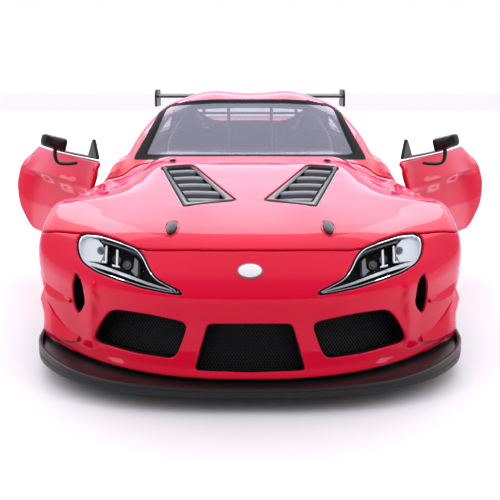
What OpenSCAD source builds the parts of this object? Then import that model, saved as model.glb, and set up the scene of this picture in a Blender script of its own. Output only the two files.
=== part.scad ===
// Diecast collector car at 1:24, a wide-body coupe standing with both doors open.
// Axes: +Z up, the nose points to -Y, origin on the ground under the middle of the car.

/* [Body] */
// width across the wheel arches
body_w = 86; // [85:0.5:87]
// thickness of the painted shell
skin_t = 1.2; // [1.1:0.05:1.3]
// thickness of the door skins
door_t = 0.7; // [0.6:0.05:0.8]
// gap round the doors
shut_gap = 0.5; // [0.45:0.05:0.6]
// gap round the clamshell hood
hood_gap = 0.4; // [0.3:0.05:0.5]
// height of the hood's lower edge
hood_z = 25.4; // [25.2:0.1:25.6]

/* [Doors] */
// angle at which the doors stand open
door_open = 35; // [30:1:38]
// height of the door's belt line
belt_z = 34.4; // [34:0.1:34.6]

/* [Wheels] */
// half of the wheelbase pair: front axle position along Y
front_y = -53; // [-53.5:0.5:-52.5]
// rear axle position along Y
rear_y = 50; // [49.5:0.5:50.5]
// tyre radius
tyre_r = 13.2; // [13:0.1:13.4]
// tyre width
tyre_w = 10.5; // [10:0.5:11]
// spokes in each wheel
spoke_count = 10; // [8:1:12]

/* [Hidden] */
$fn = 64;
arch_r = tyre_r + 1.4;
tyre_x = 40.6;
hinge_x = 33.9;
hinge_y = -30.3;
pin_r = 0.6;
eye_r = pin_r + 0.06;
axle_r = 1.0;
hood_axis = [0, -27, 33];
draft = [0, -200, 53];
wk = body_w / 86;

// ---- section curves of the body, each [position along Y, value]
crown = [[-92, 18.3], [-91, 19.6], [-89.6, 21.8], [-88, 23.3], [-84.5, 25.9], [-80, 27.5],
    [-72, 29.3], [-65, 30.7], [-53, 33.1], [-42, 35.2], [-31, 36.3], [-10, 36.6], [20, 37],
    [45, 37.6], [62, 38], [76, 38.8], [86, 40.4], [92, 41]];
fall = [[-88, 0], [-80, 0.3], [-72, 0.6], [-60, 0.6], [-53, 1.8], [-42, 5.2], [-32, 5.9],
    [-27, 3.6], [-22, 1.6], [-10, 1.2], [20, 0.6], [45, 0.6], [62, 1], [92, 2.5]];
half_w = [[-92, 41.5], [-60, 41.9], [-53, 42.3], [-44, 42.2], [-36, 40.6], [-28, 39], [-12, 38.4],
    [8, 38.6], [20, 39.8], [30, 41.4], [38, 42.6], [50, 43], [62, 42.8], [72, 41.8], [84, 39.4],
    [92, 37.5]];
nose = [[3, -92.3], [5, -92], [6.5, -91.2], [9.5, -90.4], [13.7, -89.9], [16, -90.4],
    [19.5, -91.6], [24, -92]];
tail = [[3, 84], [8, 86.5], [14, 89], [22, 90], [30, 89.5], [38, 90.5], [42, 91.5]];
cabin_w = [[-34, 25.5], [-24, 30], [-10, 32.6], [5, 33.4], [20, 32.6], [35, 30.4], [50, 27],
    [62, 24], [75, 20]];
roof_z = [[-30, 44], [-12, 48.4], [-4, 49.7], [0, 50.2], [8, 50.6], [20, 49.9], [34, 47.6],
    [48, 44.3], [60, 41.2], [72, 38.6], [84, 36]];

// shoulder along the doors and over the rear wheels: crease height, top edge height and half width
crease_z = [[-30, 25], [-17, 25.6], [22, 28], [40, 29.5], [60, 31], [80, 33], [92, 34]];
belt_h = [[-30, 34.4], [26, 35], [45, 36.2], [70, 37.5], [92, 39.5]];
belt_w = [[-30, 36], [0, 35.4], [8, 34.6], [16, 32.8], [26, 30.8], [36, 30.5], [50, 31.5], [62, 33],
    [75, 34], [92, 34]];

function smax(a, b, k) = let (h = max(k - abs(a - b), 0) / k) max(a, b) + h * h * k / 4;
function sstep(a, b, x) = let (t = min(max((x - a) / (b - a), 0), 1)) t * t * (3 - 2 * t);
function bell(u) = exp(-u * u);
function sweep(a) = 10.5 * pow(a / 30, 2.4);
function top_z(a, y) = lookup(y - sweep(a) * (1 - sstep(-84, -31, y)), crown)
    - lookup(y, fall) * sstep(19, 34, a) - 1.4 * sstep(31, 38, a) * bell((y + 44) / 10);
function side_x(y, z) = wk * lookup(y, half_w)
    - (0.017 - 0.004 * sstep(-30, -22, y) * (1 - sstep(18, 30, y)) - 0.013 * bell((y + 56) / 17))
        * pow(max(z - 16, 0), 2)
    - 0.006 * pow(max(13 - z, 0), 2) * sstep(-40, -25, y) * (1 - sstep(20, 34, y));
function shoulder(a, y, z) = let (ac = wk * lookup(y, half_w) - 0.5, zc = lookup(y, crease_z))
    let (u = ac - lookup(y, belt_w), v = lookup(y, belt_h) - zc)
    ((z - zc) * u + (a - ac) * v) / norm([u, v]) - 3 * (1 - sstep(-2, 12, y));
function lower(a, y, z) =
    let (f1 = smax(z - top_z(a, y), lookup(z, nose) + sweep(a) - y, 2.4))
    let (f2 = smax(f1, a - side_x(y, z), 2.2))
    let (f3 = smax(f2, shoulder(a, y, z), 1.5))
    let (f4 = smax(f3, y - lookup(z, tail) + 7.5 * pow(a / 36, 3), 2.5))
    smax(f4, 4.5 - z, 0.6);
function cabin(a, y, z) =
    let (r = lookup(y, roof_z) + 0.9 * bell((a - 11.5) / 6) * (1 - sstep(20, 55, y))
        - 3.4 * pow(a / 25, 3))
    let (s = 36.2 + 0.512 * (y + 31 - 4.2 * pow(a / 28, 2)))
    let (g = lookup(y, cabin_w) - 0.66 * (z - 36) - 0.01 * pow(max(z - 36, 0), 2))
    max(smax(smax(z - r, z - s, 2), a - g, 3), 28 - z, y - 78);
function body(p) = let (a = abs(p.x)) -smax(-lower(a, p.y, p.z), -cabin(a, p.y, p.z), 1.4);
function reach(o, d, lo, hi, lv, n) = n == 0 ? o + d * (lo + hi) / 2 :
    let (m = (lo + hi) / 2)
    body(o + d * m) < lv ? reach(o, d, m, hi, lv, n - 1) : reach(o, d, lo, m, lv, n - 1);

// rays leave a spine inside the body: a cap of rays at each end and rings between
caps = 7;
rings = 31;
around = 44;
rows = caps + rings + caps;
spine_a = [0, -60, 15];
spine_b = [0, 60, 18];
function ray_o(i) = i < caps ? spine_a : i >= caps + rings ? spine_b
    : spine_a + (spine_b - spine_a) * (i - caps) / (rings - 1);
function ray_t(i) = i < caps ? 90 * (i + 0.7) / (caps + 0.7)
    : i >= caps + rings ? 90 + 90 * (i - caps - rings + 1) / (caps + 0.7) : 90;
function ray_d(i, j) = let (t = ray_t(i), p = 360 * j / around)
    [sin(t) * sin(p), -cos(t), sin(t) * cos(p)];

// solid inside the level lv of the body's function; 0 is the painted surface
module block(lv) {
    pts = [for (i = [0:rows - 1]) for (j = [0:around - 1])
        reach(ray_o(i), ray_d(i, j), 2, 75, lv, 13)];
    tips = [reach(spine_a, [0, -1, 0], 2, 75, lv, 13), reach(spine_b, [0, 1, 0], 2, 75, lv, 13)];
    n = rows * around;
    quads = [for (i = [0:rows - 2]) for (j = [0:around - 1]) for (h = [0, 1])
        let (k = (j + 1) % around, a = i * around, b = a + around)
        h == 0 ? [a + j, b + k, a + k] : [a + j, b + j, b + k]];
    fans = [for (j = [0:around - 1]) for (h = [0, 1])
        let (k = (j + 1) % around, b = (rows - 1) * around)
        h == 0 ? [n, j, k] : [n + 1, b + k, b + j]];
    polyhedron(concat(pts, tips), concat(quads, fans));
}

// ---- cutters
function at(q, y) = [q.x * (y - draft.y) / 120, y, draft.z + (q.y - draft.z) * (y - draft.y) / 120];
// convex outline given at Y -80, drafted away from the draft point between y0 and y1
module taper(q, y0, y1) {
    hull() polyhedron([for (p = q) at(p, y0), for (p = q) at(p, y1)],
        [[for (i = [0:2 * len(q) - 1]) i]]);
}
module both() {
    children();
    mirror([1, 0, 0]) children();
}
// columns of the headlight outline: [x, low z, high z]
lamp = [[30.8, 23.2, 25.6], [30.1, 22, 27.4], [26.7, 20, 27.6], [23.4, 18.6, 26.5],
    [20.1, 17.5, 25.1], [18.9, 17.1, 23.6], [17.9, 16.9, 21.1], [16.8, 16.7, 19.3],
    [14, 16.2, 17.8], [12.3, 16.1, 16.9]];
module lamp_zone(g) {
    for (i = [0:len(lamp) - 2]) {
        p = lamp[i];
        q = lamp[i + 1];
        taper([[p.x, p.y + g], [p.x, p.z - g], [q.x, q.y + g], [q.x, q.z - g]], -95, -58);
    }
}
module side_mouth(g) {
    taper([[28.6 - g, 7.2], [27.9 - g, 9.8], [26 - g, 12.7 - g], [24.5, 13.2 - g], [18.2, 12.3 - g],
        [11.3 + g, 10.7 - g], [13.9 + g, 3.7 + g], [21.2, 4.9 + g]], -98, -66);
}
module centre_mouth(g) {
    taper([[-7.8 + g, 10.5 - g], [7.8 - g, 10.5 - g], [10.4 - g, 1.5 + g], [0, 1.1 + g],
        [-10.4 + g, 1.5 + g]], -98, -78);
}
module side_inlet(g) {
    taper([[31.2 - g, 20.6 - g], [30.2 + g, 18.5], [29.9 + g, 14.6], [31.2, 12.5 + g],
        [31.9 - g, 15.1], [31.9 - g, 18.1]], -92, -60);
}
vent_out = [[2.4, -64.4], [13, -67.8], [20.4, -42.6], [12.8, -42.2]];
vent_in = [[4.9, -63.2], [12, -65.6], [18.6, -43.8], [13.4, -43.6]];
module prism(q, z0, z1) {
    translate([0, 0, z0]) linear_extrude(z1 - z0) polygon(q);
}
// windshield edge at Y -80: [x, low z, high z] for each column
glass_cols = [[0, 41, 50.4], [6, 41, 50.3], [11, 41, 50], [14.2, 41, 49.3], [15.3, 41, 47.2],
    [16.3, 41, 45.1], [18, 41, 41.4]];
module shield_zone(g) {
    both() for (i = [0:len(glass_cols) - 2]) {
        p = glass_cols[i];
        q = glass_cols[i + 1];
        taper([[p.x, p.y + g], [p.x, p.z - g], [q.x - (i == 5 ? g : 0), q.y + g],
            [q.x - (i == 5 ? g : 0), q.z - g]], -45, 6);
    }
}
side_glass = [[-20.5, 34.9], [-3.6, 44.6], [1.6, 46.6], [13, 47], [20, 45.6], [23, 35.1]];
quarter = [[27, 37.2], [25.2, 44.6], [33, 43], [42, 38.6]];
module side_prism(q, x0, x1) {
    translate([x0, 0, 0]) rotate([90, 0, 90]) linear_extrude(x1 - x0) polygon(q);
}
module quarter_zone() {
    both() side_prism(quarter, 18, 40);
}
rear_rows = [[37, 19.5], [43, 18.8], [49, 17.6], [55, 16], [61, 14], [66, 11.5]];
module rear_zone(g) {
    for (i = [0:len(rear_rows) - 2]) {
        p = rear_rows[i];
        q = rear_rows[i + 1];
        y0 = p.x + (i == 0 ? g : 0);
        y1 = q.x - (i == len(rear_rows) - 2 ? g : 0);
        hull() polyhedron([for (z = [38.2, 60]) each [[-p.y + g, y0, z], [p.y - g, y0, z],
            [q.y - g, y1, z], [-q.y + g, y1, z]]], [[0, 1, 2, 3, 4, 5, 6, 7]]);
    }
}
door_edge = [[-24, 10.4], [-24, belt_z], [26.5, belt_z + 0.4], [27.6, 31], [27, 24], [24.5, 17],
    [20.5, 12], [18, 10.4]];
module door_zone(g) {
    side_prism([for (p = door_edge) [p.x + (p.x < 0 ? -g : g), p.y + (p.y < 11 ? -g : 0)
        + (p.y > 34 ? g * 1.6 : 0)]], 26, 60);
}
module hood_zone(g) {
    translate([-60, -110, hood_z - g]) cube([120, 77.8 + g * 1.4, 40]);
    both() translate([24, -60, hood_z - g]) cube([40, 29.6 + g * 1.4, 40]);
}
module arches() {
    both() {
        translate([24, front_y, tyre_r]) rotate([0, 90, 0]) cylinder(r = arch_r, h = 40);
        translate([24, rear_y, tyre_r]) rotate([0, 90, 0]) cylinder(r = arch_r + 0.4, h = 40);
    }
}
module taillight_zone(g) {
    both() translate([14 + g, 70, 31 + g]) cube([30 - 2 * g, 30, 4 - 2 * g]);
}

// the whole painted skin, t thick, with every hole in it
module painted(t) {
    difference() {
        block(0);
        block(-t);
        translate([-36, -80, 0]) cube([72, 162, 8]);
        both() {
            lamp_zone(0);
            side_mouth(0);
            side_inlet(0);
            prism([for (p = vent_out) p], 24, 44);
            side_prism(side_glass, 14, 60);
        }
        centre_mouth(0);
        shield_zone(0);
        rear_zone(0);
        quarter_zone();
        arches();
        taillight_zone(0);
        translate([-22, 80, 2]) cube([44, 20, 9]);
    }
}

// ---- painted pieces
module body_shell() {
    color("crimson") difference() {
        painted(skin_t);
        hood_zone(0);
        both() door_zone(shut_gap);
        translate([-60, -120, 0]) cube([120, 62, 60]);
    }
}
module front_bumper() {
    color("crimson") intersection() {
        painted(skin_t);
        translate([-60, -120, 0]) cube([120, 62, hood_z]);
    }
}
module hood() {
    color("crimson") intersection() {
        painted(skin_t);
        hood_zone(-hood_gap);
    }
}
module swing() {
    translate([hinge_x, hinge_y, 0]) rotate([0, 0, -door_open]) translate([-hinge_x, -hinge_y, 0])
        children();
}
module door_skin() {
    intersection() {
        painted(door_t);
        door_zone(0);
    }
}
module door_left() {
    color("crimson") swing() door_skin();
}
module door_right() {
    color("crimson") mirror([1, 0, 0]) swing() door_skin();
}
inner_edge = [[-21.2, 11.6], [-21.2, 32.6], [25, 32.8], [26, 30], [25.4, 24], [23, 17.6], [19, 12.4],
    [17, 11.6]];
module inner_panel() {
    difference() {
        intersection() {
            block(-door_t - 0.15);
            side_prism(inner_edge, 28, 60);
        }
        block(-door_t - 1.6);
        hull() {
            translate([30, -8, 16]) sphere(r = 1, $fn = 8);
            translate([40, 10, 15]) sphere(r = 1, $fn = 8);
        }
    }
    // armrest, grab handle, map pocket and switch plate
    hull() {
        translate([34.2, -14, 25]) cube([1.3, 1, 1.4]);
        translate([33.2, 14, 23.6]) cube([2.2, 1, 2]);
    }
    hull() {
        translate([34, -2, 28]) cube([1, 1, 1]);
        translate([34, 10, 27.4]) cube([1, 1, 1]);
    }
    hull() {
        translate([34.6, -16, 13]) cube([1, 1, 4]);
        translate([34.6, 2, 13]) cube([1.2, 1, 3]);
    }
    hull() translate([34.4, -12, 26.8]) cube([0.8, 4, 1]);
    hull() translate([34.2, 15, 27]) cube([1, 3, 1.6]);
    hull() translate([34.4, -18, 20]) cube([1, 4, 4]);
    hull() translate([34.6, 14, 15]) cube([1, 4, 4]);
}
module door_left_panel() {
    color("#202022") swing() inner_panel();
}
module door_right_panel() {
    color("#202022") mirror([1, 0, 0]) swing() inner_panel();
}
function leg(p, q, w) = let (d = (q - p) / norm(q - p), n = [-d.y, d.x] * w / 2)
    [p - n, q - n, q + n, p + n];
module door_arms() {
    for (z = [13.4, 19.4]) translate([0, 0, z]) linear_extrude(1.4) difference() {
        union() {
            translate([hinge_x, hinge_y]) circle(r = 1.5);
            polygon(leg([hinge_x, hinge_y], [29.9, -22.4], 1.5));
            translate([29.9, -22.4]) circle(r = 0.9);
            polygon(leg([29.9, -22.4], [34.1, -19.6], 1.4));
        }
        translate([hinge_x, hinge_y]) circle(r = eye_r);
    }
}
module door_left_arms() {
    color("silver") swing() door_arms();
}
module door_right_arms() {
    color("silver") mirror([1, 0, 0]) swing() door_arms();
}
module door_hinge_pins() {
    color("silver") both() translate([hinge_x, hinge_y, 4.4]) cylinder(r = pin_r, h = 20.2);
}
module belt_trim() {
    hull() {
        translate([32.9, -23.2, belt_z + 0.1]) cube([1, 0.6, 0.7]);
        translate([33.4, 6, belt_z + 0.4]) cube([1.2, 0.6, 0.7]);
    }
    translate([32.9, 0, 0]) side_prism([[-23, belt_z + 0.85], [-20.6, 39.4], [-19.9, 39.4],
        [-16.4, belt_z + 0.85]], 0, 0.7);
}
module door_left_trim() {
    color("#151516") swing() belt_trim();
}
module door_right_trim() {
    color("#151516") mirror([1, 0, 0]) swing() belt_trim();
}
module mirror_body() {
    difference() {
        hull() {
            translate([40, -17.6, 37.2]) cube([6.4, 1.4, 3.6]);
            translate([40.4, -14.8, 37.3]) cube([5.8, 0.4, 3.4]);
        }
        translate([40.7, -14.9, 37.7]) cube([5.2, 2, 2.6]);
    }
    translate([42.6, -16.4, 33.2]) cylinder(r = 0.5, h = 4.1, $fn = 24);
    translate([36.6, -16.9, 33.2]) cube([6.2, 1, 0.9]);
}
module door_left_mirror() {
    color("#151516") swing() mirror_body();
}
module door_right_mirror() {
    color("#151516") mirror([1, 0, 0]) swing() mirror_body();
}
module mirror_glass() {
    translate([40.8, -14.85, 37.8]) cube([5, 0.3, 2.4]);
}
module door_left_mirror_glass() {
    color("lightsteelblue") swing() mirror_glass();
}
module door_right_mirror_glass() {
    color("lightsteelblue") mirror([1, 0, 0]) swing() mirror_glass();
}

// ---- hood furniture
module vent_plane() {
    translate([0, -53, 33.1]) rotate([12, 0, 0]) translate([0, 53, 0]) children();
}
function grow(q, g) = let (c = (q[0] + q[1] + q[2] + q[3]) / 4)
    [for (p = q) p + (p - c) / norm(p - c) * g];
module hood_vent_frames() {
    color("#3a3b40") both() vent_plane() difference() {
        prism(grow(vent_out, -0.5), -1.3, 0.1);
        prism(vent_in, -3, 3);
    }
}
module hood_vent_louvres() {
    color("#2c2d31") both() vent_plane() for (i = [0:3]) {
        y0 = -61.6 + i * 4.6;
        y1 = y0 + 3.9;
        translate([0, y0, -1.1]) rotate([-14, 0, 0]) translate([0, -y0, 0]) linear_extrude(0.5)
            polygon([[33.15 + 0.434 * y0, y0], [31.1 + 0.303 * y0, y0],
                [31.1 + 0.303 * y1, y1], [33.15 + 0.434 * y1, y1]]);
    }
}
pins_at = [[14.6, -76.5], [15.6, -35]];
module hood_pin_at(p, r) {
    translate([p.x, p.y, top_z(p.x, p.y) + 0.2]) rotate([10, 3, 0]) {
        cylinder(r = r, h = 0.25);
        translate([0, 0, 0.25]) cylinder(r = r * 0.45, h = 0.5);
    }
}
module hood_pins() {
    color("#202024") both() {
        hood_pin_at(pins_at[0], 1.5);
        hood_pin_at(pins_at[1], 1);
    }
}
module hood_arms() {
    color("silver") both() translate([20, 0, 0]) rotate([90, 0, 90]) linear_extrude(1.6)
        difference() {
            union() {
                translate([hood_axis.y, hood_axis.z]) circle(r = 1.2);
                polygon(leg([hood_axis.y, hood_axis.z], [-34, 28.6], 1));
                translate([-34, 28.6]) circle(r = 0.6);
                polygon(leg([-34, 28.6], [-36, 32.4], 1.2));
            }
            translate([hood_axis.y, hood_axis.z]) circle(r = eye_r);
        }
}
module hood_hinge_pins() {
    color("silver") both() {
        translate([17.6, hood_axis.y, hood_axis.z]) rotate([0, 90, 0]) cylinder(r = pin_r, h = 5);
        translate([16, hood_axis.y - 1, 11.4]) cube([1.6, 2, 22.4]);
    }
}

// ---- nose
module nose_badge() {
    color("white") translate([0, -88.4, 23.5]) rotate([48, 0, 0]) scale([1.35, 1, 1])
        cylinder(r = 1.6, h = 0.45, $fn = 48);
}
module headlight_lenses() {
    color([0.9, 0.95, 1, 0.4]) both() intersection() {
        difference() {
            block(-0.1);
            block(-0.8);
        }
        lamp_zone(0.15);
    }
}
module headlight_buckets() {
    color("#1b1b1d") both() intersection() {
        difference() {
            block(-2.7);
            block(-3.8);
        }
        intersection() {
            lamp_zone(0.2);
            translate([0, -100, 0]) cube([50, 33.4, 60]);
        }
    }
}
lamps_at = [[29, -76, 23.5], [26.4, -77.8, 23.5], [23.9, -79.9, 23.3]];
module headlight_reflectors() {
    color("whitesmoke") both() for (p = lamps_at) translate(p) rotate([46, 0, 35])
        cylinder(r = 0.7, h = 0.5, center = true, $fn = 32);
}
module mesh_panel(w, h, n, m) {
    for (i = [0:n - 1]) translate([w * (i + 0.5) / n - 0.2, 0, 0]) cube([0.4, 0.6, h]);
    for (j = [0:m - 1]) translate([0, 0.2, h * (j + 0.5) / m - 0.2]) cube([w, 0.4, 0.4]);
}
module centre_grille() {
    color("#101011") intersection() {
        translate([-12, -87.6, 4]) mesh_panel(24, 12, 10, 6);
        side_prism([[-100, 7.6], [-100, 13.4], [0, 13.4], [0, 7.6]], -8.8, 8.8);
    }
}
module side_grilles() {
    color("#101011") both() translate([12, -84.4, 6.4]) rotate([0, 0, 22])
        mesh_panel(16, 9, 7, 5);
}
module inlet_screens() {
    color("#101011") both() translate([33.4, -70.2, 10.4]) rotate([0, 0, 60])
        cube([2.6, 0.5, 7.6]);
}
splitter_edge = [[-41.4, -68], [-40.6, -74], [-37.5, -81], [-31, -87.6], [-21, -92.6], [-10, -94.6],
    [0, -95], [10, -94.6], [21, -92.6], [31, -87.6], [37.5, -81], [40.6, -74], [41.4, -68]];
module front_splitter() {
    color("#18181a") translate([0, 0, 2.9]) linear_extrude(1.5) polygon(splitter_edge);
}
canard_edge = [[36, -74.6], [38, -72.4], [40, -70], [41.8, -67.2], [43, -64], [43.8, -64],
    [43.2, -68.4], [41.2, -72.4], [38.2, -75.6]];
module canards() {
    color("crimson") both() {
        translate([0.2, -0.2, 13.4]) linear_extrude(0.7) polygon(canard_edge);
        translate([0.2, -1, 7.6]) linear_extrude(0.7) polygon(canard_edge);
    }
}

// ---- glazing
module glaze(hi, lo) {
    difference() {
        block(hi);
        block(lo);
    }
}
module windshield() {
    color([0.75, 0.85, 0.95, 0.35]) intersection() {
        glaze(-0.15, -0.9);
        shield_zone(0.2);
    }
}
module rear_window() {
    color([0.6, 0.7, 0.8, 0.4]) intersection() {
        glaze(-0.15, -0.9);
        union() {
            rear_zone(0.25);
            for (i = [0:3]) hull() translate([-0.5, 40 + i * 6, 38]) cube([1, 1, 1]);
        }
    }
}
module quarter_windows() {
    color([0.2, 0.22, 0.25, 0.6]) both() hull() {
        translate([31.2, 27.8, 38]) sphere(r = 0.3, $fn = 8);
        translate([29.2, 40.4, 39.3]) sphere(r = 0.3, $fn = 8);
        translate([27.4, 26, 43.4]) sphere(r = 0.3, $fn = 8);
        translate([27, 33, 42.2]) sphere(r = 0.3, $fn = 8);
    }
}

// ---- tail
module taillights() {
    color([0.7, 0.05, 0.05, 0.8]) both() for (i = [0:4]) {
        x = 15 + i * 4.6;
        translate([x, lookup(32.5, tail) - 7.5 * pow((x + 2) / 36, 3) - 1.9, 31.3])
            cube([4.4, 1.2, 3.3]);
    }
}
module rear_diffuser() {
    color("#18181a") {
        translate([-30, 66, 2.9]) cube([60, 22, 1.4]);
        for (x = [-16, -8, 0, 8, 16]) translate([x - 0.4, 74, 4.3]) cube([0.8, 13, 4.6]);
    }
}
module exhaust_tips() {
    color("silver") both() translate([12, 89.6, 6.8]) rotate([90, 0, 0]) difference() {
        cylinder(r = 1.9, h = 12);
        translate([0, 0, -1]) cylinder(r = 1.5, h = 11);
    }
}
module rear_wing() {
    color("#151516") side_prism([[83, 48.2], [86, 47.7], [91, 48.1], [95, 49.1], [95, 49.5],
        [90, 49], [85.4, 49]], -36.9, 36.9);
}
module wing_endplates() {
    color("#151516") both() side_prism([[82, 44.4], [95, 44.4], [95, 50.2], [84, 50.2],
        [82, 48.8]], 37, 37.8);
}
module wing_stands() {
    color("#151516") both() side_prism([[80, top_z(18, 80) + 0.2], [86, top_z(18, 86) + 0.2],
        [89.6, 47.8], [86.6, 47.6]], 18, 19);
}

// ---- side skirts and chassis
module side_skirts() {
    color("#18181a") both() translate([0, 0, 2.9]) linear_extrude(1.5)
        polygon([[36, -36], [40.6, -35], [39.6, -26], [39.4, 8], [40.6, 22], [42, 32], [36, 33]]);
}
screws_at = [[-14, -34], [14, -34], [-14, 30], [14, 30]];
module chassis_plate() {
    color("#1c1c1e") {
        difference() {
            translate([-35.6, -67.4, 3]) cube([71.2, 132.8, 1.4]);
            both() for (y = [front_y, rear_y]) translate([27.4, y - 15.6, 0]) cube([20, 31.2, 9]);
            for (p = screws_at) translate([p.x, p.y, 0]) cylinder(r = 1.3, h = 9);
        }
        both() for (y = [front_y, rear_y]) difference() {
            translate([19, y - 3.5, 4.4]) cube([6, 7, tyre_r - 1.4]);
            translate([10, y, tyre_r]) rotate([0, 90, 0]) cylinder(r = axle_r + 0.05, h = 20);
        }
    }
}
module chassis_screws() {
    color("silver") for (p = screws_at) translate([p.x, p.y, 3.2]) difference() {
        union() {
            cylinder(r = 1.2, h = 0.8);
            cylinder(r = 0.7, h = 2);
        }
        translate([-0.8, -0.15, -1]) cube([1.6, 0.3, 1.3]);
        translate([-0.15, -0.8, -1]) cube([0.3, 1.6, 1.3]);
    }
}

// ---- wheels
module axle(y) {
    translate([-38, y, tyre_r]) rotate([0, 90, 0]) cylinder(r = axle_r, h = 76);
}
module tyres(y) {
    both() translate([tyre_x - tyre_w, y, tyre_r]) rotate([0, 90, 0]) rotate_extrude($fn = 96)
        polygon([[9.4, 0.6], [tyre_r - 1.2, 0], [tyre_r - 0.3, 0.5], [tyre_r, 1.5],
            [tyre_r, tyre_w - 1.5], [tyre_r - 0.3, tyre_w - 0.5], [tyre_r - 1.2, tyre_w],
            [9.4, tyre_w - 0.6]]);
}
module rims(y) {
    both() translate([tyre_x - tyre_w, y, tyre_r]) rotate([0, 90, 0]) {
        rotate_extrude($fn = 96) polygon([[8.3, 0.8], [9.35, 0.8], [9.35, tyre_w - 0.8],
            [8.6, tyre_w - 0.6], [8.3, tyre_w - 2]]);
        difference() {
            union() {
                translate([0, 0, tyre_w - 4]) cylinder(r = 2.6, h = 2.6);
                for (i = [0:spoke_count - 1]) rotate([0, 0, 360 * i / spoke_count])
                    translate([2, -0.5, tyre_w - 3.4]) cube([6.45, 1, 1.6]);
            }
            translate([0, 0, -1]) cylinder(r = axle_r, h = tyre_w - 1.6);
        }
    }
}
module discs(y) {
    both() translate([31.6, y, tyre_r]) rotate([0, 90, 0]) difference() {
        union() {
            cylinder(r = 6.8, h = 0.8);
            translate([0, 0, -0.8]) cylinder(r = 3, h = 2.4);
        }
        translate([0, 0, -2]) cylinder(r = axle_r, h = 6);
        for (i = [0:9]) rotate([0, 0, 36 * i]) translate([5.2, 0, -1])
            cylinder(r = 0.35, h = 4, $fn = 12);
    }
}
module front_axle() {
    color("silver") axle(front_y);
}
module rear_axle() {
    color("silver") axle(rear_y);
}
module front_tyres() {
    color("#161616") tyres(front_y);
}
module rear_tyres() {
    color("#161616") tyres(rear_y);
}
module front_rims() {
    color("#2a2a2d") rims(front_y);
}
module rear_rims() {
    color("#2a2a2d") rims(rear_y);
}
module front_discs() {
    color("silver") discs(front_y);
}
module rear_discs() {
    color("silver") discs(rear_y);
}

// ---- under the hood
module engine_bay() {
    color("#222224") {
        difference() {
            translate([-25.6, -77, 5.2]) cube([51.2, 40.8, 9]);
            translate([-24.2, -75.8, 6.4]) cube([48.4, 38.4, 20]);
            both() translate([17.6, front_y - 4, 0]) cube([20, 8, 30]);
            translate([-40, front_y - 1.6, tyre_r - 1.6]) cube([80, 3.2, 10]);
        }
        translate([-24, -37.4, 14.2]) cube([48, 1.2, 13]);
    }
}
module engine() {
    color("#3a3a3e") {
        translate([-6, -66, 15.6]) cube([12, 25, 6.4]);
        translate([-4.6, -65, 22]) cube([9.2, 23, 4]);
        for (i = [0:5]) translate([0, -63 + i * 3.9, 26]) cylinder(r = 1.3, h = 1, $fn = 32);
        translate([6, -59, 16.6]) cube([5, 5, 4]);
        translate([-12, -63, 17]) cube([6, 19, 5]);
    }
}
module radiator() {
    color("#55575b") translate([-20, -80.4, 6.4]) cube([40, 2.2, 13]);
}
module strut_brace() {
    color("silver") {
        translate([-20.4, -46, 27.8]) rotate([0, 90, 0]) cylinder(r = 0.6, h = 40.8);
        both() translate([21.4, -46, 26.8]) cylinder(r = 2.2, h = 2);
    }
}

// ---- cabin
module interior_tub() {
    color("#1d1d20") {
        difference() {
            translate([-29, -27, 4.4]) cube([58, 61, 7]);
            translate([-27.8, -25.8, 5.6]) cube([55.6, 58.6, 20]);
            for (p = screws_at) translate([p.x, p.y, 4]) cylinder(r = 1, h = 3);
        }
        translate([-3.2, -20, 5.6]) cube([6.4, 36, 6.4]);
        translate([-27.8, 32.8, 11.4]) cube([55.6, 1.2, 21]);
    }
}
module dashboard() {
    color("#18181a") {
        side_prism([[-26, 24.4], [-26, 31.4], [-22, 33], [-15, 31.8], [-13, 28.6], [-15, 24.4]],
            -27.6, 27.6);
        translate([-3, -21, 12.2]) cube([6, 6, 12.2]);
    }
}
module steering_wheel() {
    color("#18181a") translate([13, -9.4, 27.4]) rotate([68, 0, 0]) {
        rotate_extrude($fn = 64) translate([5, 0]) circle(r = 0.55, $fn = 16);
        cylinder(r = 1.4, h = 0.8, center = true);
        for (a = [0, 120, 240]) rotate([0, 0, a - 30]) translate([1.2, -0.4, -0.3])
            cube([3.6, 0.8, 0.6]);
        translate([0, 0, 0.4]) cylinder(r = 0.6, h = 2.6);
    }
}
module seat() {
    hull() {
        translate([-6.4, -7, 5.7]) cube([12.8, 13, 3]);
        translate([-6, -7, 9]) cube([12, 13, 1.2]);
    }
    both() translate([5, -7.4, 10.2]) cube([1.7, 12, 2.4]);
    hull() {
        translate([-6.4, 6.2, 6]) cube([12.8, 3, 4]);
        translate([-5.4, 12.4, 27]) cube([10.8, 2.4, 1]);
    }
    hull() {
        translate([-3.4, 12.5, 28]) cube([6.8, 2.4, 1]);
        translate([-2.8, 14, 33.4]) cube([5.6, 2, 1]);
    }
    both() hull() {
        translate([6.3, 4, 12]) cube([1, 4, 4]);
        translate([5.3, 10, 25]) cube([1, 3, 1]);
    }
}
module seats() {
    color("#232327") both() translate([13.5, -2, 0]) seat();
}
module harness() {
    for (x = [-2.6, 1.4]) translate([x, 0, 0]) hull() {
        translate([0, 4.6, 11.6]) cube([1.2, 0.3, 0.4]);
        translate([0, 11.6, 27.2]) cube([1.2, 0.3, 0.4]);
    }
    translate([-4, 1.8, 10.4]) cube([8, 1.4, 0.4]);
}
module harnesses() {
    color("firebrick") both() translate([13.5, -2, 0]) harness();
}
module pipe(p, q, r) {
    d = q - p;
    translate(p) rotate([0, atan2(norm([d.x, d.y]), d.z), atan2(d.y, d.x)])
        cylinder(r = r, h = norm(d), $fn = 10);
}
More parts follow.
